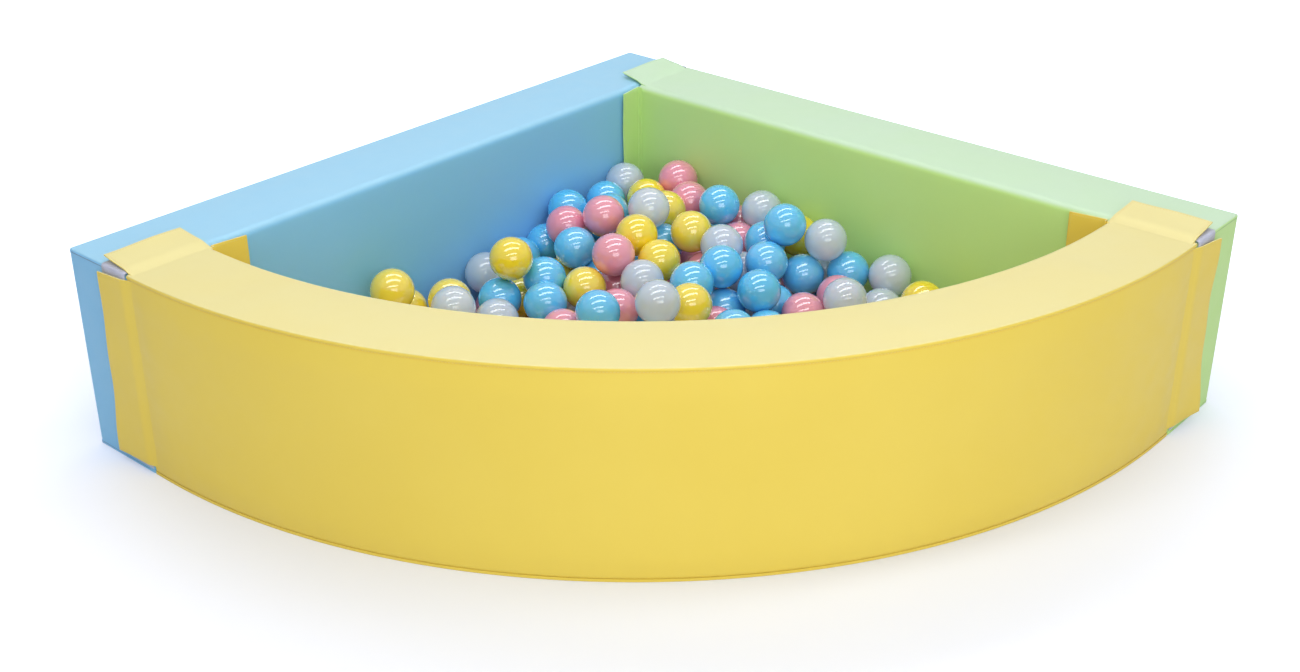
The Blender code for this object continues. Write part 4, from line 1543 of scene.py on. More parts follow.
@dataclass
class Wall:
    """One padded wall: its leather cover, foam block, stiff panel and zip."""

    name: WallName
    zip_length: float
    zip_start: Vector
    zip_heading: Vector
    patch_room: float = 0.165
    swell: float = 3.2 * MM
    top_swell: float = 1.4 * MM
    top_edge: float = 6 * MM
    ease: float = 0.035
    frames: int = 20
    pressure: float = 4.0
    slack: float = 0.012
    still: float = 0.02 * MM
    face_depth: float = 5 * MM
    ripple: float = 0.35 * MM
    ripple_pitch: float = 0.026
    ripple_start: float = 8 * MM
    ripple_fade: float = 16 * MM
    foot_fade: float = 20 * MM
    stitch_step: float = 5 * MM
    stitch_depth: float = 0.55
    foam_clear: float = 0.3 * MM
    foam_lift: float = 5 * MM
    foam_step: float = 24 * MM
    tape_half: float = 13 * MM
    tape: float = 0.6 * MM
    tooth_pitch: float = 2.0 * MM
    slider_near: float = 0.001 * MM
    slider_edge: float = 0.18 * MM
    hem: float = 0.8 * MM
    hem_clear: float = 0.4 * MM
    hem_out: float = 0.3 * MM
    hem_over: float = 2.2 * MM
    cord: float = 0.5 * MM
    cord_out: float = 0.1 * MM
    cord_drop: float = 4.5 * MM
    cord_rise: float = 1.5 * MM
    line_step: float = 10 * MM
    shape: WallShape = field(init=False)

    def __post_init__(self) -> None:
        """Draw the wall's shape along its path."""
        self.shape = WallShape(PATHS[self.name])

    @property
    def body(self) -> str:
        """The CAD body that the wall rides on."""
        return self.name.value + "_wall"

    def room(self, points: np.ndarray) -> np.ndarray:
        """How far each point of the cover may swell.

        Args:
            points: The cover's points.

        Returns:
            Metres for each point, nothing where the wall touches another piece.
        """
        along, depth = self.shape.path.locate(points)
        height = points[:, 2]
        ends = np.minimum(along, self.shape.path.length - along)
        line = SIZES.height - self.shape.seam_drop
        side = smooth((height - self.shape.low) / self.ease)
        side *= smooth((line - 2 * self.shape.groove_half - height) / self.ease)
        side *= smooth((ends - SIZES.end_round) / self.ease) * (np.abs(depth) < MM)
        lid = smooth((depth - self.top_edge) / self.ease)
        lid *= smooth((SIZES.wall - SIZES.top_round - depth) / self.ease)
        lid *= smooth((ends - self.patch_room) / self.ease) * (height > SIZES.height - MM)
        return side * self.swell + lid * self.top_swell

    def inflate(self, cover: bpy.types.Object) -> None:
        """Swell the cover as cloth under the foam's push, and hold it where it is sewn.

        Args:
            cover: The cover, whose mesh is moved.
        """
        start = read_points(cover)
        room = self.room(start)
        held = cover.vertex_groups.new(name="sewn")
        held.add([int(number) for number in np.flatnonzero(room < self.still)], 1.0, "REPLACE")
        cloth = cover.modifiers.new("cloth", "CLOTH")
        cloth.settings.vertex_group_mass = held.name
        cloth.settings.use_pressure = True
        cloth.settings.uniform_pressure_force = self.pressure
        cloth.settings.effector_weights.gravity = 0
        cloth.settings.shrink_min = -self.slack
        cloth.settings.quality = 5
        cloth.collision_settings.use_collision = False
        cloth.point_cache.frame_start, cloth.point_cache.frame_end = 1, self.frames
        for frame in range(1, self.frames + 1):
            bpy.context.scene.frame_set(frame)
        moved = read_points(evaluated(cover)) - start
        far = np.linalg.norm(moved, axis=1)
        share = np.minimum(1, room / np.maximum(far, 1e-9))
        cover.modifiers.remove(cloth)
        cover.vertex_groups.remove(held)
        bpy.context.scene.frame_set(1)
        write_points(cover, start + moved * share[:, None])

    def crease(self, cover: bpy.types.Object) -> None:
        """Add the small ripples beside the seams, and mark the folds for the finish.

        Args:
            cover: The cover, whose mesh is changed.
        """
        points = read_points(cover)
        along, depth = self.shape.path.locate(points)
        ends = np.minimum(along, self.shape.path.length - along)
        line = SIZES.height - self.shape.seam_drop
        below = line - 2 * self.shape.groove_half - points[:, 2]
        above = points[:, 2] - self.shape.low
        phase = 2 * math.pi * along / self.ripple_pitch
        wave = np.sin(phase + 1.7 * np.sin(phase / 4.3)) * np.sin(phase / 9.1)
        outer = depth < self.face_depth
        strength = sum(smooth(away / self.ripple_start) * np.exp(-np.maximum(away, 0) / fade)
                       for away, fade in ((below, self.ripple_fade), (above, self.foot_fade)))
        out = np.where(outer & (ends > SIZES.end_round), wave * strength * self.ripple, 0)
        inwards = self.shape.path.at(along)[1]
        write_points(cover, points - inwards * out[:, None])
        # The fold mark tells the finish where to paint shade and dust in the seam groove.
        groove = np.exp(-(((points[:, 2] - line) / (0.8 * self.shape.groove_half)) ** 2))
        store(cover, "fold", np.where(outer, groove, 0))

    def make_cover(self) -> bpy.types.Object:
        """The leather cover over the top, sides and ends.

        Returns:
            The cover, which replaces its CAD node.
        """
        cover = self.shape.skin(self.body + "_leather")
        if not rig.quick():
            self.inflate(cover)
        finer = cover.modifiers.new("subdivision", "SUBSURF")
        finer.levels = finer.render_levels = 1
        apply_modifiers(cover)
        self.crease(cover)
        mark_painted_top_light(cover)
        WALL_LEATHER[self.name].put_on(shade_smooth(cover))
        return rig.padded(stand_for(cover, self.body, self.body + "_cover"), fill=1.0)

    def make_hem(self) -> bpy.types.Object:
        """The cover's turned hem, which hides the rim of the panel.

        Returns:
            The hem, a flat band around the wall's foot.
        """
        path, quilt = self.shape.path, Patchwork(self.body + "_hem")
        low, high, out = self.hem_clear, self.shape.low + self.hem_over, -self.hem_out
        corners = ((out, high), (out, low), (self.hem, low), (self.hem, high), (out, high))
        stops, extra = np.array(self.shape.stops()).T
        before = np.clip(1 - stops / SIZES.end_round, 0, 1)
        beyond = np.clip(1 - (path.length - stops) / SIZES.end_round, 0, 1)
        loops = []
        for inset, level in corners:
            along, near = stops + inset * (before - beyond), extra + inset
            places = np.concatenate((along, along[::-1], along[:1]))
            depths = np.concatenate((near, SIZES.wall - near[::-1], near[:1]))
            loops.append(path.place(places, depths, np.full(len(places), level)))
        quilt.add(np.array(loops))
        hem = WALL_LEATHER[self.name].put_on(shade_smooth(quilt.build(), 40))
        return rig.ride(hem, self.body)

    def make_seam(self) -> bpy.types.Object:
        """The row of stitches in the seam below the outer top edge.

        Returns:
            The row.
        """
        path = self.shape.path
        end = 2 * SIZES.end_round
        along = np.arange(end, path.length - end, self.stitch_step)
        level = np.full(len(along), SIZES.height - self.shape.seam_drop)
        depth = np.full(len(along), self.shape.groove * self.stitch_depth)
        line = path.place(along, depth, level)
        row = STITCHES.along(self.body + "_seam_stitches", [line], THREADS[self.name])
        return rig.ride(row, self.body)

    def make_end_seams(self) -> bpy.types.Object:
        """The fine cords in the seams at the top and the foot of the wall's free end.

        Returns:
            The cords, as one piece.
        """
        path = self.shape.path
        depth = spread(2 * SIZES.edge_round, SIZES.wall - SIZES.top_round, self.line_step)
        data = bpy.data.curves.new(self.body + "_end_seams", "CURVE")
        data.dimensions = "3D"
        data.bevel_depth = self.cord
        data.bevel_resolution = 1
        data.use_fill_caps = True
        for level in (SIZES.height - self.cord_drop, self.shape.low + self.cord_rise):
            line = path.place(np.full(len(depth), -self.cord_out), depth,
                              np.full(len(depth), level))
            spline = data.splines.new("POLY")
            spline.points.add(len(line) - 1)
            for point, place in zip(spline.points, line):
                point.co = (*place, 1.0)
        drawn = new_object(data.name, data)
        mesh = bpy.data.meshes.new_from_object(evaluated(drawn))
        bpy.data.objects.remove(drawn)
        seams = SEAM_CORDS[self.name].put_on(shade_smooth(new_object(data.name, mesh)))
        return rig.ride(seams, self.body)

    def make_foam(self) -> bpy.types.Object:
        """The foam block inside the cover.

        Returns:
            The block, which replaces its CAD node.
        """
        inside = SIZES.leather + SIZES.gap + self.foam_clear
        shape = WallShape(PATHS[self.name], inset=inside, seams=False, step=self.foam_step,
                          low=SIZES.cover_low + self.foam_lift)
        foam = shape.skin(self.body + "_foam_block", hollow=0.0)
        FOAM.put_on(shade_smooth(foam, 40))
        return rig.padded(stand_for(foam, self.body, self.body + "_foam"), fill=1.0)

    def zip_point(self, along: float, across: float, height: float) -> Vector:
        """A point of the zip, from its start."""
        return (self.zip_start + self.zip_heading * along
                + UP.cross(self.zip_heading) * across + UP * height)

    def make_zip(self) -> list[bpy.types.Object]:
        """The zip in the panel: two tapes with corded edges and two rows of teeth.

        Returns:
            The tapes and the teeth.
        """
        level = SIZES.cover_low + self.tape / 2
        quilt = Patchwork(self.body + "_zip_tapes")
        stops = spread(0, self.zip_length, self.line_step)
        widths = (0.5 * MM, 1.1 * MM, 1.8 * MM, 4 * MM, 8 * MM, self.tape_half)
        cord = (0.25 * MM, 0.35 * MM, 0.1 * MM, 0, 0, 0)
        for side in (-1, 1):
            grid = np.array([[[self.zip_point(stop, side * width,
                                              level + face * (self.tape / 2 + bulge))
                               for width, bulge in zip(widths, cord)] for stop in stops]
                             for face in (-1, 1)])
            rims = [grid[:, :, spot].transpose(1, 0, 2) for spot in (0, -1)]
            for face in (*grid, *rims, grid[:, 0], grid[:, -1]):
                quilt.add(face)
        tapes = TAPE_CLOTH.put_on(shade_smooth(quilt.build(), 40))
        lines, bare, off = [], 2 * MM, 0.9 * MM
        for side in (-1, 1):
            ends = (bare + (side + 1) / 4 * self.tooth_pitch, self.zip_length - bare)
            lines.append(np.array([self.zip_point(end, side * off, level) for end in ends]))
        teeth = TEETH.along(self.body + "_zip_teeth", lines, TEETH_PLASTIC,
                            Pitch=self.tooth_pitch)
        return [stand_for(piece, self.body, self.body + "_zip") for piece in (tapes, teeth)]

    def make_slider(self, node: bpy.types.Object) -> bpy.types.Object:
        """The zip's slider, with its edges rounded off.

        Args:
            node: The slider's CAD node, whose mesh is copied.

        Returns:
            The rounded slider.
        """
        slider = new_object(node.name + "_body", node.data.copy())
        bm = bmesh.new()
        bm.from_mesh(slider.data)
        bmesh.ops.remove_doubles(bm, verts=bm.verts, dist=self.slider_near)
        bmesh.ops.dissolve_limit(bm, angle_limit=math.radians(1), verts=bm.verts, edges=bm.edges)
        bm.to_mesh(slider.data)
        bm.free()
        bevel = slider.modifiers.new("edges", "BEVEL")
        bevel.width = self.slider_edge
        bevel.segments = 2
        apply_modifiers(slider)
        SLIDER_METAL.put_on(shade_smooth(slider, 35))
        return stand_for(slider, self.name.value + "_zip_slider", node.name)

    def build(self, nodes: dict[str, bpy.types.Object]) -> list[bpy.types.Object]:
        """Make and dress everything that belongs to the wall.

        Args:
            nodes: The CAD nodes by name.

        Returns:
            The wall's pieces.
        """
        panel = PANEL_CLOTH.put_on(nodes[self.body + "_base"])
        slider = self.make_slider(nodes[self.body + "_zip_slider"])
        ends = [self.make_end_seams()] if self.name is not WallName.FRONT else []
        return [self.make_cover(), self.make_hem(), self.make_seam(), *ends, self.make_foam(),
                panel, *self.make_zip(), slider]


# Corners


TAPE_EDGE = SIZES.strip / 5


@dataclass
class FlapSheet:
    """One fastening flap: a double sheet of leatherette that starts in its wall's seam."""

    name: str
    parent: str
    lies_on: str
    finish: Leatherette
    thread: Thread
    frame: Matrix
    root: float
    tip: float
    reaches: tuple[float, float]
    rise: float
    lift: float
    wraps: bool = False
    flares: tuple[float, float] = (0.0, 0.0)
    ridge: float = 0.0
    thick: float = 2.1 * MM
    edge: float = 0.5 * MM
    ridge_out: float = 12 * MM
    ridge_half: float = 1.8 * MM
    sewn: float = 12 * MM
    sunk: float = 2.7 * MM
    ease: float = 18 * MM
    ramp: float = 15 * MM
    lift_curve: float = 1.4
    flare_start: float = 0.2
    wave: float = 0.7 * MM
    wave_length: float = 0.13
    wave_start: float = 0.8
    step: float = 4.5 * MM
    side_step: float = 8 * MM
    wrap_bend: float = 2.2 * MM
    wrap_in: float = 0.4 * MM
    wrap_foot: tuple[float, float] = (6 * MM, 3 * MM)
    margin: float = 3.8 * MM
    seam_half: float = 0.9 * MM
    seam_mark: float = 0.6
    stitch_step: float = 6 * MM
    bend_start: float = 1 * MM
    tip_step: float = 0.04
    hook_start: float = 13 * MM
    hook_step: float = 10 * MM
    hook_margin: float = 6.5 * MM
    hook_clear: float = 0.1 * MM

    @property
    def reach(self) -> float:
        """Mean distance from the hinge to the tip."""
        return sum(self.reaches) / 2

    def off(self, out: np.ndarray, side: np.ndarray) -> np.ndarray:
        """How far the sheet's middle stands off the hinge's plane.

        Args:
            out: Distance from the hinge.
            side: Place across the flap, from -1 to 1.

        Returns:
            Metres off the wall that the flap lies on.
        """
        share = np.clip(out / self.reach, 0, 1)
        climb = self.rise * smooth(out / self.ramp) + self.lift * share ** self.lift_curve
        flare = np.where(side < 0, *self.flares)
        outside = smooth((np.abs(side) - self.flare_start) / (1 - self.flare_start))
        climb += flare * share ** 2 * outside
        phase = side * self.root / self.wave_length * math.pi + self.wave_start
        ripple = self.wave * share * np.sin(phase)
        if self.wraps:
            return climb + ripple
        climb += self.ridge * np.exp(-(((out - self.ridge_out) / self.ridge_half) ** 2))
        return climb + ripple - self.sunk * smooth((self.sewn / 2 - out) / self.ease)

    def point(self, out: np.ndarray, side: np.ndarray, above: float = 0.0) -> np.ndarray:
        """Points of the sheet in its hinge's frame.

        Args:
            out: Distance from the hinge, before the reach of each side is allowed for.
            side: Place across the flap, from -1 to 1.
            above: Distance over the sheet's middle.

        Returns:
            Points, X out from the hinge, Y off the wall and Z along the hinge.
        """
        out, side = np.broadcast_arrays(np.asarray(out, float), np.asarray(side, float))
        share = np.clip(out / self.reach, 0, 1)
        half = (self.root + (self.tip - self.root) * share) / 2
        longer = np.where(side < 0, *self.reaches) / self.reach
        blend = 1 + (longer - 1) * np.abs(side) * share
        return np.stack((out * blend, self.off(out, side) + above, side * half), -1)

    def place(self, local: np.ndarray) -> np.ndarray:
        """Points of the hinge's frame as points of the pit."""
        turn = np.array(self.frame.to_3x3())
        return local @ turn.T + np.array(self.frame.translation)

    def bend(self, piece: bpy.types.Object) -> bpy.types.Object:
        """Let a piece bend with the flap, between its root and its hook tape.

        Args:
            piece: The piece.

        Returns:
            The same piece.
        """
        start, end = (tuple(self.place(np.array((out, 0, 0))))
                      for out in (self.bend_start, self.hook_start))
        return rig.blend(piece, self.parent, self.name, start=start, end=end)

    def make_sheet(self) -> bpy.types.Object:
        """The flap itself, which bends where it leaves its wall.

        Returns:
            The flap, which replaces its CAD node.
        """
        sides = spread(-1, 1, 2 * self.side_step / self.root)
        outs = spread(-self.sewn if not self.wraps else 0, self.reach, self.step)
        grid = self.point(outs[:, None], sides[None])
        if self.wraps:
            bend, inside = self.wrap_bend, -self.wrap_in
            rows = [(inside, bend + up) for up in self.wrap_foot]
            rows += [(bend + inside - bend * math.cos(angle), bend - bend * math.sin(angle))
                     for angle in quarter(4)[:-1]]
            foot = [np.stack((np.full_like(sides, out), np.full_like(sides, off),
                              sides * self.root / 2), -1) for out, off in rows]
            grid = np.concatenate((np.array(foot), grid[1:]))
        quilt = Patchwork(self.name + "_sheet")
        quilt.add(self.place(grid))
        sheet = layered(quilt.build(), self.thick, self.edge, 2)
        local = (read_points(sheet) - np.array(self.frame.translation)) @ np.array(
            self.frame.to_3x3())
        # The fold mark tells the finish where to paint shade and dust along the stitch lines.
        inside = self.root / 2 - np.abs(local[:, 2])
        seams = np.exp(-(((inside - self.margin) / self.seam_half) ** 2))
        store(sheet, "fold", seams * self.seam_mark * smooth(local[:, 0] / self.ramp))
        mark_painted_top_light(sheet)
        self.finish.put_on(shade_smooth(sheet, 60))
        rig.replaces(self.bend(sheet), self.name)
        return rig.sheet(sheet, flat=(self.root, self.reach + self.sewn),
                        held="hung" if self.wraps else "laid", rests_on=[self.lies_on])

    def make_stitches(self) -> bpy.types.Object:
        """The row of stitches along the flap's three free edges.

        Returns:
            The row, which bends with the flap.
        """
        edge = 1 - 2 * self.margin / self.root
        tip = self.reach - self.margin
        above = self.thick / 2
        outs = spread(2 * self.bend_start, tip, self.stitch_step)
        sides = spread(-edge, edge, self.tip_step)
        first = self.point(outs, np.full_like(outs, -edge), above)
        end = self.point(np.full_like(sides, tip), sides, above)
        last = self.point(outs[::-1], np.full_like(outs, edge), above)
        line = self.place(np.concatenate((first, end[1:-1], last)))
        return self.bend(STITCHES.along(self.name + "_stitches", [line], self.thread))

    def make_hooks(self) -> bpy.types.Object:
        """The hook tape sewn under the flap.

        Returns:
            The tape, which replaces its CAD node.
        """
        below = -(self.thick + SIZES.strip) / 2 - self.hook_clear
        edge = (self.tip / 2 - self.hook_margin) / (self.root / 2)
        sides = spread(-edge, edge, 2 * self.hook_step / self.root)
        outs = spread(self.hook_start, self.reach - self.hook_margin, self.step)
        quilt = Patchwork(self.name + "_hook_tape")
        quilt.add(self.place(self.point(outs[:, None], sides[None], below)))
        tape = layered(quilt.build(), SIZES.strip, TAPE_EDGE, 1)
        HOOK_TAPE.put_on(shade_smooth(tape, 50))
        stand_for(tape, self.name, self.name.replace("_flap", "_hook_strip"))
        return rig.sheet(tape, flat=(self.tip - 2 * self.hook_margin, outs[-1] - outs[0]),
                        held="laid", rests_on=[self.name + "_sheet"])

    def build(self) -> list[bpy.types.Object]:
        """Make the flap with its stitches and hook tape."""
        return [self.make_sheet(), self.make_stitches(), self.make_hooks()]


@dataclass
class CornerFastening:
    """The flaps of one corner, and the loop tape on the wall that they close on.

    The origin is on the floor where the carrier's inner face meets its end; along runs along
    the carrier from its end, and over goes from its inner face to its outer one.
    """

    corner: Corner
    origin: Vector
    along: Vector
    over: Vector
    parent: str
    carrier: str
    finish: Leatherette
    thread: Thread
    inner_reach: float = 0.060
    top_reach: float = 0.062
    top_root: float = 0.130
    top_tip: float = 0.126
    side_low: float = 0.014
    outer_high: float = 0.311
    inner_high: float = 0.3165
    taper: float = 0.006
    outer_top: float = 0.064
    outer_foot: float = 0.076
    sewn_back: float = 0.004
    top_lift: float = 7.5 * MM
    outer_lift: float = 2.2 * MM
    inner_lift: float = 1.6 * MM
    outer_ridge: float = 0.4 * MM
    outer_flares: tuple[float, float] = (3.5 * MM, 0.0)
    loop_near: float = 0.0015
    loop_far: float = 0.056
    loop_along: float = 0.110
    loop_foot: float = 0.008
    loop_step: float = 9 * MM
    patch_margin: float = 6 * MM
    patch_foot: float = 20 * MM

    def hinge(self, point: Vector, out: Vector, off: Vector) -> Matrix:
        """A frame on a hinge line: X out from it, Y off the wall, Z along it.

        Args:
            point: A point of the line.
            out: The way out from it.
            off: The way off the wall.

        Returns:
            The frame.
        """
        frame = Matrix((out, off, out.cross(off))).transposed().to_4x4()
        frame.translation = point
        return frame

    def flaps(self) -> list[FlapSheet]:
        """The corner's three flaps.

        Returns:
            The top, outer and inner flap.
        """
        skin = SIZES.gap + SIZES.flap / 2
        rise = SIZES.flap_rise - SIZES.gap
        middle = UP * (self.side_low + self.outer_high) / 2
        inner_middle = UP * (self.side_low + self.inner_high) / 2
        top = self.hinge(self.origin + self.along * SIZES.wall / 2 - self.over * self.sewn_back
                         + UP * (SIZES.height + skin), self.over, UP)
        outer = self.hinge(self.origin + middle - self.over * self.sewn_back
                           - self.along * skin, self.over, -self.along)
        inner = self.hinge(self.origin + inner_middle + self.along * (SIZES.wall + skin)
                           - self.over * (SIZES.flap_rise + SIZES.flap / 2),
                           self.along, -self.over)
        reaches = (self.outer_foot, self.outer_top)
        flares = self.outer_flares
        if outer.col[2].z < 0:
            reaches, flares = reaches[::-1], flares[::-1]
        tall = self.outer_high - self.side_low
        inner_tall = self.inner_high - self.side_low
        sizes = {
            FlapKind.TOP: {"frame": top, "root": self.top_root, "tip": self.top_tip,
                           "reaches": (self.top_reach, self.top_reach), "rise": rise,
                           "lift": self.top_lift},
            FlapKind.OUTER: {"frame": outer, "root": tall, "tip": tall - self.taper,
                             "reaches": reaches, "rise": rise, "lift": self.outer_lift,
                             "flares": flares, "ridge": self.outer_ridge},
            FlapKind.INNER: {"frame": inner, "root": inner_tall, "tip": inner_tall - self.taper,
                             "reaches": (self.inner_reach, self.inner_reach), "rise": 0.0,
                             "lift": self.inner_lift, "wraps": True},
        }
        return [FlapSheet(f"{self.corner.value}_{kind.value}_flap", self.parent,
                          self.carrier + "_cover", self.finish, self.thread, **its)
                for kind, its in sizes.items()]

    def make_wrap(self) -> bpy.types.Object:
        """The loop tape from the carrier's top over its edge and down its end.

        Returns:
            The tape, which replaces its CAD node.
        """
        middle = SIZES.gap + SIZES.strip / 2
        radius = SIZES.end_round + middle
        bend = SIZES.height - SIZES.end_round
        line = [(along, SIZES.height + middle) for along in
                spread(self.loop_along, SIZES.end_round, self.loop_step)[:-1]]
        line += [(SIZES.end_round - radius * math.sin(angle), bend + radius * math.cos(angle))
                 for angle in quarter(4)]
        line += [(-middle, height) for height in
                 spread(bend, self.loop_foot, self.loop_step)[1:]]
        widths = spread(self.loop_near, self.loop_far, self.loop_step)
        grid = [[self.origin + self.along * along + UP * height + self.over * width
                 for width in widths] for along, height in line]
        name = self.corner.value + "_loop_wrap"
        quilt = Patchwork(name.replace("wrap", "tape"))
        quilt.add(np.array(grid))
        return self.finish_tape(quilt, name, (self.loop_far - self.loop_near,
                                              self.loop_along + bend - self.loop_foot), "folded")

    def make_patch(self) -> bpy.types.Object:
        """The loop patch on the carrier's inner face, under the inner flap.

        Returns:
            The patch, which replaces its CAD node.
        """
        near = SIZES.wall + self.patch_margin
        far = SIZES.wall + self.inner_reach - self.patch_margin
        low, high = self.patch_foot, SIZES.height - SIZES.top_round
        level = SIZES.gap + SIZES.strip / 2
        grid = [[self.origin + self.along * along + UP * height - self.over * level
                 for along in spread(near, far, self.loop_step)]
                for height in spread(low, high, self.loop_step)]
        name = self.corner.value + "_inner_loop_patch"
        quilt = Patchwork(name.replace("patch", "tape"))
        quilt.add(np.array(grid))
        return self.finish_tape(quilt, name, (far - near, high - low), "laid")

    def finish_tape(self, quilt: Patchwork, node: str, flat: tuple[float, float],
                    held: str) -> bpy.types.Object:
        """Give a loop tape its thickness and pile, and put it on the carrier.

        Args:
            quilt: The tape's middle layer.
            node: The CAD node that it replaces.
            flat: Width and length that it was cut to.
            held: How it is held.

        Returns:
            The tape.
        """
        tape = layered(quilt.build(), SIZES.strip, TAPE_EDGE, 1)
        LOOP_TAPE.put_on(shade_smooth(tape, 50))
        stand_for(tape, self.carrier, node)
        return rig.sheet(tape, flat=flat, held=held, rests_on=[self.carrier + "_cover"])

    def build(self) -> list[bpy.types.Object]:
        """Make the corner's flaps and tapes."""
        made = [piece for flap in self.flaps() for piece in flap.build()]
        return [*made, self.make_wrap(), self.make_patch()]


# Balls


@dataclass(frozen=True)
class SeenBalls:
    """Balls of one colour as the photograph shows them: centre and width, in pixels."""

    colour: BallColour
    loose: tuple[tuple[float, float, float], ...]
    locked: tuple[tuple[float, float, float], ...]


SEEN_BALLS = (
    SeenBalls(
        BallColour.WHITE,
        ((624, 182, 39.3), (650, 210, 41.5), (722, 247, 43), (886, 276.5, 43.8),
         (845, 296, 44.3), (659, 299, 45.6), (453, 304.5, 45)),
        ((762, 210.5, 41), (825.5, 240, 43), (826, 268, 42.3), (485, 272, 42.7),
         (743, 272, 42.3), (642, 281, 44)),
    ),
    SeenBalls(BallColour.BLUE, (), ((692, 283, 43.3),)),
    SeenBalls(BallColour.WHITE, (), ((882, 309.5, 44.6), (497, 320, 44.8))),
    SeenBalls(
        BallColour.PINK,
        ((680, 183, 39.6), (602, 213, 42), (614, 255.7, 43.5)),
        ((688.5, 201, 40.2), (740, 225, 41), (566.5, 226, 41.2), (738, 242, 41.5),
         (705, 272, 42.5), (663, 280, 42.6), (617, 287, 43.4), (837, 296, 43),
         (617, 310, 44.3), (803, 314, 44.4), (716, 328, 45), (563, 331, 44.8)),
    ),
    SeenBalls(
        BallColour.YELLOW,
        ((691.5, 233.5, 42), (512.4, 257, 44), (393, 288.5, 44.7), (921, 299.5, 45)),
        ((647, 198, 40), (666, 211, 40.5), (637, 235, 41.5), (798, 235, 41.6),
         (658.5, 260, 42.7), (585, 288, 43.8), (521, 297, 43), (450, 300, 44),
         (690, 305, 44.6), (406, 309, 44.6)),
    ),
    SeenBalls(
        BallColour.BLUE,
        ((721, 204, 42), (609, 212, 40.3), (785, 226.5, 42.6), (520, 254, 41.8),
         (598.5, 308.5, 45.5), (733, 328, 45.6)),
        ((606, 200.5, 39.9), (567.5, 209, 40.5), (765, 242, 42.3), (663, 243, 41.5),
         (546, 243.5, 41.3), (575, 247.5, 42.5), (766.5, 262, 43.5), (721, 266, 43.5),
         (848.5, 272, 42.6), (803, 274.5, 42.5), (544.5, 278, 43.2), (694, 287, 43.3),
         (759, 291, 44.8), (500, 299, 43.8), (545.5, 303, 44.5), (773, 305, 43.6),
         (724, 310, 43.6), (767, 332, 45.8)),
    ),
)


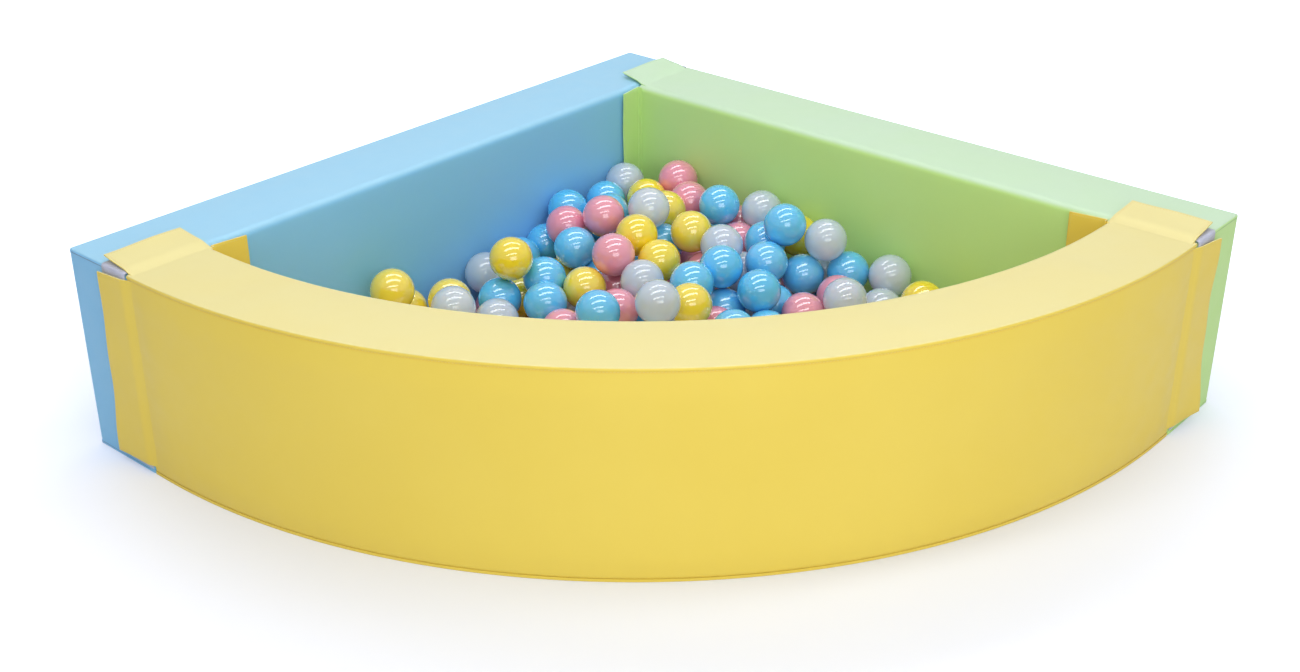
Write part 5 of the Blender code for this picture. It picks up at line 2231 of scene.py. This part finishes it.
@dataclass
class HeapRule:
    """How the heap settles, the same rule as the solids follow."""

    eye_from_right_wall: float = 2.1833
    eye_from_left_wall: float = 1.9171
    eye_height: float = 1.2971
    looking: float = 49.17
    tilt: float = 27.04
    focal: float = 1695.6
    middle: tuple[float, float] = (650, 336)
    bed_reach: float = 0.0355
    clear: float = 0.0006
    squash: float = 0.002
    layers: tuple[float, ...] = (0.70, 0.60, 0.40)
    buried_clear: float = 0.052
    cover_reach: float = 0.060
    cover_drop: float = 0.030
    settling: int = 300
    joining: int = 200
    sinking: int = 60
    resting: int = 60
    fall: float = 0.0005
    sink: float = 0.0001
    anchor: float = 0.004
    sight: float = 0.4
    push: float = 1.3
    pushes: int = 3
    flap_reach: float = 0.042

    @property
    def eye(self) -> np.ndarray:
        """Where the photograph was taken from."""
        return np.array((SIZES.inner_x - self.eye_from_right_wall,
                         SIZES.inner_y - self.eye_from_left_wall, self.eye_height))

    def axes(self) -> tuple[np.ndarray, np.ndarray, np.ndarray]:
        """The photograph's ways ahead, to the right and up.

        Returns:
            Three directions, each one metre long.
        """
        turn, tilt = math.radians(self.looking), math.radians(self.tilt)
        ahead = np.array((math.sin(turn) * math.cos(tilt), math.cos(turn) * math.cos(tilt),
                          -math.sin(tilt)))
        side = np.array((math.cos(turn), -math.sin(turn), 0))
        return ahead, side, np.cross(side, ahead)

    def sight_lines(self, seen: np.ndarray) -> tuple[np.ndarray, np.ndarray]:
        """For each seen ball, the way to it and how far off it looks.

        Args:
            seen: Centre and width of each ball, in pixels.

        Returns:
            The directions and the distances.
        """
        ahead, side, above = self.axes()
        across = (seen[:, 0] - self.middle[0]) / self.focal
        down = (seen[:, 1] - self.middle[1]) / self.focal
        ways = ahead + across[:, None] * side - down[:, None] * above
        lengths = np.linalg.norm(ways, axis=1)
        return ways / lengths[:, None], self.focal * SIZES.ball / seen[:, 2] * lengths

    def buried(self, seen: np.ndarray) -> np.ndarray:
        """Layers of balls packed from the corner outwards, under the ones that show.

        Args:
            seen: Where the ones that show lie.

        Returns:
            Where the buried ones lie.
        """
        pitch = 2 * self.bed_reach + self.clear
        row = pitch * math.sin(math.radians(60))
        rise = pitch * math.sqrt(2 / 3)
        start = self.bed_reach + SIZES.gap
        places = []
        for layer, reach in enumerate(self.layers):
            for step in range(int(reach / row) + 1):
                for line in range(int(reach / row) + 1):
                    along = start + (step + (line + layer) % 2 / 2) * pitch
                    across = start + line * row + layer * row / 3
                    if math.hypot(along, across) > reach:
                        continue
                    spot = np.array((SIZES.inner_x - along, SIZES.inner_y - across,
                                     SIZES.ball / 2 + layer * rise))
                    away = np.linalg.norm(seen - spot, axis=1)
                    level = np.linalg.norm(seen[:, :2] - spot[:2], axis=1)
                    over = seen[:, 2] > spot[2] + self.cover_drop
                    covered = ((level < self.cover_reach) & over).any()
                    if covered and (layer == 0 or away.min() > self.buried_clear):
                        places.append(spot)
        return np.array(places)

    def hinge_room(self, places: np.ndarray, reaches: np.ndarray) -> np.ndarray:
        """How far each ball moves out of the room that the back inner flap swings in.

        Args:
            places: The balls' middles.
            reaches: How far each ball reaches from its middle.

        Returns:
            The moves.
        """
        hinge = np.array((SIZES.inner_x - SIZES.gap - SIZES.flap / 2,
                          SIZES.inner_y - SIZES.flap_rise - SIZES.flap / 2))
        level = places[:, :2] - hinge
        away = np.linalg.norm(level, axis=1)
        short = np.maximum(self.flap_reach + SIZES.flap + reaches - away, 0)
        push = np.zeros_like(places)
        push[:, :2] = level / away[:, None] * short[:, None]
        return push

    def joined(self, places: np.ndarray) -> list[tuple[int, int]]:
        """Pairs of near neighbours that together join all the balls, each pair once.

        Args:
            places: The balls' middles.

        Returns:
            Pairs of the balls' numbers.
        """
        far = np.linalg.norm(places[:, None] - places[None], axis=2)
        reached = np.zeros(len(places), bool)
        reached[0] = True
        nearest = far[0]
        source = np.zeros(len(places), int)
        pairs = []
        for _ in range(len(places) - 1):
            ball = int(np.argmin(np.where(reached, np.inf, nearest)))
            pairs.append((int(source[ball]), ball))
            reached[ball] = True
            source = np.where(far[ball] < nearest, ball, source)
            nearest = np.minimum(far[ball], nearest)
        return pairs

    def settle(self, seen: np.ndarray, loose: np.ndarray) -> np.ndarray:
        """Where every ball lies: the seen ones on their sight lines, on a bed of buried ones.

        Args:
            seen: Centre and width of each seen ball, in pixels.
            loose: Which of them lie loose on top.

        Returns:
            The places of the seen balls and then of the buried ones.
        """
        ways, distances = self.sight_lines(seen)
        start = self.eye + ways * distances[:, None]
        faces = np.array((SIZES.inner_x, SIZES.inner_y))
        start[:, :2] = np.minimum(start[:, :2], faces - SIZES.ball / 2)
        count = len(seen)
        places = np.vstack([start, self.buried(start)])
        total = len(places)
        locked = np.append(~loose, np.ones(total - count, bool))
        reaches = np.where(locked, self.bed_reach, SIZES.ball / 2)
        apart = reaches[:, None] + reaches[None] + self.clear
        tied = np.zeros((total, total), bool)
        done = self.settling + self.joining
        for turn in range(done + self.sinking + self.resting):
            if turn < self.settling:
                along = ((places[:count] - self.eye) * ways).sum(axis=1)
                places[:count] += ways * (self.anchor * (distances - along))[:, None]
            if turn == self.settling:
                bed = np.flatnonzero(locked)
                for one, other in self.joined(places[bed]):
                    first, second = bed[one], bed[other]
                    tied[first, second] = tied[second, first] = True
                    apart[first, second] = apart[second, first] = SIZES.ball - self.squash
            still = turn >= done
            moves = np.where(locked & still, 0.0, 1.0)
            given = moves[:, None] / np.maximum(moves[:, None] + moves[None], 1)
            if not still:
                places[:, 2] -= self.fall
            elif turn < done + self.sinking:
                places[:, 2] -= self.sink * moves
            for _ in range(self.pushes):
                between = places[:, None] - places[None]
                far = np.linalg.norm(between, axis=2) + np.eye(total)
                short = np.where(tied, apart - far, np.maximum(apart - far, 0))
                np.fill_diagonal(short, 0)
                push = (between / far[..., None] * (short * given)[..., None]).sum(axis=1)
                touching = np.maximum((short != 0).sum(axis=1), 1)
                places += push * self.push / touching[:, None]
                if not still:
                    along = ((places[:count] - self.eye) * ways).sum(axis=1)
                    places[:count] += self.sight * (self.eye + ways * along[:, None]
                                                    - places[:count])
                places += self.hinge_room(places, reaches)
                walled = faces - SIZES.gap - reaches[:, None]
                places[:, :2] = np.minimum(places[:, :2], walled)
                places[:, 2] = np.maximum(places[:, 2], SIZES.ball / 2)
        return places


@dataclass
class BallHeap:
    """The balls in the pit: loose ones on top, and the bed of locked and buried ones."""

    rule: HeapRule = field(default_factory=HeapRule)
    seed: int = 11
    loose_steps: int = 5
    bed_steps: int = 4
    clearance: float = 0.15 * MM
    shares: tuple[float, ...] = (0.2, 0.25, 0.25, 0.3)

    def sphere(self, steps: int) -> tuple[np.ndarray, np.ndarray]:
        """Points and triangles of a round ball of one metre's radius.

        Args:
            steps: How often its 20 faces are split, plus one.

        Returns:
            The points and the triangles.
        """
        bm = bmesh.new()
        bmesh.ops.create_icosphere(bm, subdivisions=steps, radius=1.0)
        points = np.array([vert.co[:] for vert in bm.verts])
        faces = np.array([[vert.index for vert in face.verts] for face in bm.faces])
        bm.free()
        return points, faces

    def turn(self, random: np.random.Generator) -> np.ndarray:
        """A random turn as a matrix.

        Args:
            random: Where it comes from.

        Returns:
            The matrix.
        """
        axis = random.normal(size=3)
        spin = Matrix.Rotation(random.uniform(0, math.pi * 2), 3,
                               Vector(axis / np.linalg.norm(axis)))
        return np.array(spin)

    def ball(self, spot: np.ndarray, others: np.ndarray, steps: int,
             random: np.random.Generator) -> dict[str, np.ndarray]:
        """One ball, pressed flat where its neighbours touch it.

        Args:
            spot: Its middle.
            others: The middles of the balls near it.
            steps: How often its 20 faces are split, plus one.
            random: Where its turn and tint come from.

        Returns:
            Its points, faces, mould places and tints.
        """
        points, faces = self.sphere(steps)
        mould = points * SIZES.ball / 2
        local = mould @ self.turn(random).T
        for other in others:
            away = other - spot
            far = np.linalg.norm(away)
            over = local @ (away / far) - (far / 2 - self.clearance)
            local = local - np.maximum(over, 0)[:, None] * (away / far)
        tint = np.full(len(local), random.uniform())
        return {"points": local + spot, "faces": faces, "mould": mould, "tint": tint}

    def join(self, name: str, balls: list[dict[str, np.ndarray]],
             colour: BallColour) -> bpy.types.Object:
        """Make one piece of some balls of one colour.

        Args:
            name: Name of the piece.
            balls: The balls' parts.
            colour: Their colour.

        Returns:
            The new piece.
        """
        starts = np.cumsum([0] + [len(ball["points"]) for ball in balls[:-1]])
        faces = np.concatenate([ball["faces"] + start for ball, start in zip(balls, starts)])
        mesh = bpy.data.meshes.new(name)
        mesh.from_pydata(np.concatenate([ball["points"] for ball in balls]).tolist(), [],
                         faces.tolist())
        obj = new_object(name, mesh)
        for part in ("mould", "tint"):
            store(obj, part, np.concatenate([ball[part] for ball in balls]))
        return BALL_PLASTIC[colour].put_on(shade_smooth(obj))

    def build(self) -> list[bpy.types.Object]:
        """Make the loose balls where their CAD nodes are, and the bed under them.

        Returns:
            The loose balls, and one piece of the bed for each colour.
        """
        random = np.random.default_rng(self.seed)
        loose = [(group.colour, spot) for group in SEEN_BALLS for spot in group.loose]
        locked = [(group.colour, spot) for group in SEEN_BALLS for spot in group.locked]
        seen = np.array([spot for _, spot in loose + locked], float)
        places = self.rule.settle(seen, np.arange(len(seen)) < len(loose))
        made, counts = [], dict.fromkeys(BallColour, 0)
        for colour, _ in loose:
            counts[colour] += 1
            node = f"{colour.value}_ball_{counts[colour]}"
            low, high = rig.box(node)
            spot = np.array((low + high) / 2)
            ball = self.ball(spot, np.empty((0, 3)), self.loose_steps, random)
            piece = self.join(node + "_shell", [ball], colour)
            made.append(stand_for(piece, node, node))
        bed = places[len(loose):]
        colours = [colour for colour, _ in locked]
        colours += list(random.choice(list(BallColour), len(bed) - len(locked), p=self.shares))
        groups = {colour: [] for colour in BallColour}
        for spot, colour in zip(bed, colours):
            far = np.linalg.norm(bed - spot, axis=1)
            near = bed[(far < SIZES.ball + self.clearance) & (far > 0)]
            groups[colour].append(self.ball(spot, near, self.bed_steps, random))
        for colour, balls in groups.items():
            piece = self.join(colour.value + "_balls_of_the_bed", balls, colour)
            made.append(stand_for(piece, "left_wall", "ball_bed"))
        return made


# Studio


@dataclass
class Studio:
    """Pale floor that glows far out, three strip lights, a soft fill, even light and camera."""

    rule: HeapRule = field(default_factory=HeapRule)
    picture_width: float = 1300
    sensor: float = 36.0
    floor: float = 12.0
    floor_colour: Colour = Colour(226, 229, 236)
    floor_patch: float = 0.5
    dust: tuple[float, float, float, float] = (0.79, 0.80, 0.82, 1.0)
    floor_glow: float = 0.20
    glow_near: float = 0.55
    glow_far: float = 1.6
    glow_tint: tuple[float, float, float, float] = (0.75, 0.80, 1.0, 1.0)
    ceiling: float = 2.5
    strips: tuple[float, ...] = (0.50, -0.15, -0.88)
    strip_long: float = 1.35
    strip_wide: float = 0.16
    strip_turn: float = 20.0
    strip_power: float = 20.5
    fill_power: float = 22.0
    fill_size: float = 1.8
    fill_place: tuple[float, float, float] = (0.7, -2.7, 1.2)
    aim: tuple[float, float, float] = (0.1, 0.1, 0.1)
    around: float = 0.44
    side_share: float = 0.1
    mirrored: float = 0.4

    def make_camera(self) -> None:
        """The camera at the photograph's place and angle."""
        data = bpy.data.cameras.new("camera")
        data.sensor_width = self.sensor
        data.lens = self.rule.focal / self.picture_width * self.sensor
        data.clip_start, data.clip_end = 0.05, 60
        camera = new_object("camera", data)
        ahead, side, above = self.rule.axes()
        turn = Matrix((side, above, -ahead)).transposed().to_4x4()
        turn.translation = self.rule.eye
        camera.matrix_world = turn
        bpy.context.scene.camera = camera

    def make_light(self, name: str, place: Vector, turn: Matrix, long: float, wide: float,
                   power: float) -> None:
        """One rectangular soft light.

        Args:
            name: Its name.
            place: Where it hangs.
            turn: Which way it points.
            long: Its length.
            wide: Its width.
            power: Its power in watts.
        """
        data = bpy.data.lights.new(name, "AREA")
        data.shape = "RECTANGLE"
        data.size, data.size_y = long, wide
        data.energy = power
        new_object(name, data).matrix_world = Matrix.Translation(place) @ turn

    def make_lights(self) -> None:
        """Three parallel strips overhead, and a soft fill from the right of the camera."""
        ahead, side, _ = self.rule.axes()
        level = Vector((ahead[0], ahead[1], 0)).normalized()
        right = Vector(side)
        aim = Vector(self.aim)
        for number, share in enumerate(self.strips):
            place = aim + level * share * self.ceiling + UP * self.ceiling
            turn = (Matrix((right, level, UP)).transposed().to_4x4()
                    @ Matrix.Rotation(math.radians(self.strip_turn), 4, "Z"))
            self.make_light(f"strip_{number + 1}", place, turn,
                            self.strip_long * self.ceiling, self.strip_wide * self.ceiling,
                            self.strip_power)
        x, y, z = self.fill_place
        place = right * x + level * y + UP * z
        turn = (aim - place).to_track_quat("-Z", "Y").to_matrix().to_4x4()
        self.make_light("fill", place, turn, self.fill_size, self.fill_size, self.fill_power)

    def make_world(self) -> None:
        """Even white light from all sides, and a white background behind the floor."""
        world = bpy.data.worlds.new("studio")
        world.use_nodes = True
        bpy.context.scene.world = world
        graph = Graph(world.node_tree)
        path = graph.add("ShaderNodeLightPath").outputs
        mirrored = graph.math("MULTIPLY", path["Is Glossy Ray"], self.mirrored)
        seen = graph.math("MAXIMUM", path["Is Camera Ray"],
                          graph.math("MAXIMUM", mirrored, path["Is Transmission Ray"]))
        way = graph.parts(graph.add("ShaderNodeTexCoord").outputs["Generated"])
        around = graph.math("MULTIPLY_ADD", way[0], self.around * self.side_share, self.around)
        unseen = graph.math("MULTIPLY", graph.math("SUBTRACT", 1.0, seen), around)
        graph.fill(world.node_tree.nodes["Background"], Color=WHITE,
                   Strength=graph.math("ADD", seen, unseen))

    def make_floor(self) -> None:
        """The plain pale floor, with a little dust in its finish."""
        half = self.floor / 2
        quilt = Patchwork("studio_floor")
        line = spread(-half, half, self.floor / 12)
        quilt.add(np.array([[(x, y, 0) for x in line] for y in line]))
        floor = quilt.build()
        if floor.data.polygons[0].normal.z < 0:
            floor.data.flip_normals()
        material = bpy.data.materials.new("studio_floor")
        material.use_nodes = True
        graph = Graph(material.node_tree)
        shader = material.node_tree.nodes["Principled BSDF"]
        place = graph.object_place()
        mottled = MOTTLE.use(graph, Place=place, Patch=self.floor_patch, Other=self.dust,
                             Colour=self.floor_colour.linear(), Amount=0.2)
        away = graph.length(place)
        glow = graph.between(away, self.glow_near, self.glow_far, self.floor_glow, 1.0)
        path = graph.add("ShaderNodeLightPath").outputs
        graph.fill(shader, Base_Color=mottled, Roughness=0.6, Specular_IOR_Level=0.2,
                   Emission_Color=self.glow_tint,
                   Emission_Strength=graph.math("MULTIPLY", glow, path["Is Camera Ray"]))
        floor.data.materials.append(material)
        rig.stage(floor)

    def build(self) -> None:
        """Set up the floor, the lights, the world and the camera."""
        self.make_floor()
        self.make_lights()
        self.make_world()
        self.make_camera()
        bpy.context.scene.view_settings.view_transform = "Standard"


# The whole pit


def walls() -> list[Wall]:
    """The three walls with their zips, placed as in the solids.

    Returns:
        The left, the right and the front wall.
    """
    zip_margin, curved, off_inner_face = 0.081, 0.600, 0.025
    long = SIZES.length - SIZES.wall - 2 * zip_margin
    half = SIZES.wall / 2
    diagonal = (EAST - NORTH).normalized()
    centre = Vector((SIZES.radius - SIZES.side, SIZES.front + SIZES.radius, 0))
    outwards = -(EAST + NORTH).normalized()
    right_middle = SIZES.front + (SIZES.length - SIZES.wall - SIZES.gap) / 2
    middle = centre + outwards * (SIZES.radius - SIZES.wall + off_inner_face)
    return [
        Wall(WallName.LEFT, long, Vector((-long / 2, SIZES.back - half, 0)), EAST),
        Wall(WallName.RIGHT, long, Vector((SIZES.side - half, right_middle - long / 2, 0)),
             NORTH),
        Wall(WallName.FRONT, curved, middle - diagonal * curved / 2, diagonal),
    ]


def corners() -> list[CornerFastening]:
    """The three corners with their flaps and tapes.

    Returns:
        The left, the right and the back corner.
    """
    yellow, green = THREADS[WallName.FRONT], THREADS[WallName.RIGHT]
    return [
        CornerFastening(Corner.LEFT, Vector((-SIZES.side, SIZES.inner_y, 0)), EAST, NORTH,
                        "front_wall", "left_wall", YELLOW_LEATHER, yellow),
        CornerFastening(Corner.RIGHT, Vector((SIZES.inner_x, SIZES.front, 0)), NORTH, EAST,
                        "front_wall", "right_wall", YELLOW_LEATHER, yellow,
                        outer_flares=(8 * MM, 4 * MM)),
        CornerFastening(Corner.BACK, Vector((SIZES.side, SIZES.inner_y, 0)), -EAST, NORTH,
                        "right_wall", "left_wall", GREEN_LEATHER, green, inner_reach=0.042,
                        top_reach=0.050, top_root=0.122, top_tip=0.112),
    ]


def pieces(nodes: dict[str, bpy.types.Object]) -> Iterator[bpy.types.Object]:
    """Build the walls, the corners and the balls, one after the other.

    Args:
        nodes: The CAD nodes by name.

    Yields:
        Each piece, once its part of the pit is built.
    """
    for wall in walls():
        yield from wall.build(nodes)
    for fastening in corners():
        yield from fastening.build()
    yield from BallHeap().build()


def main() -> None:
    """Load the frame, build everything in order and note the sizes."""
    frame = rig.load()
    cad_box = [list(corner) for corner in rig.bounds()]
    for piece in pieces(frame["nodes"]):
        LOG.info("made %s", piece.name)
    Studio().build()
    model_box = [list(corner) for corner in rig.bounds()]
    with open(SIZE_FILE, "w") as file:
        json.dump({"cad": cad_box, "model": model_box}, file)


if __name__ == "__main__":
    logging.basicConfig(level=logging.INFO, format="%(message)s")
    main()
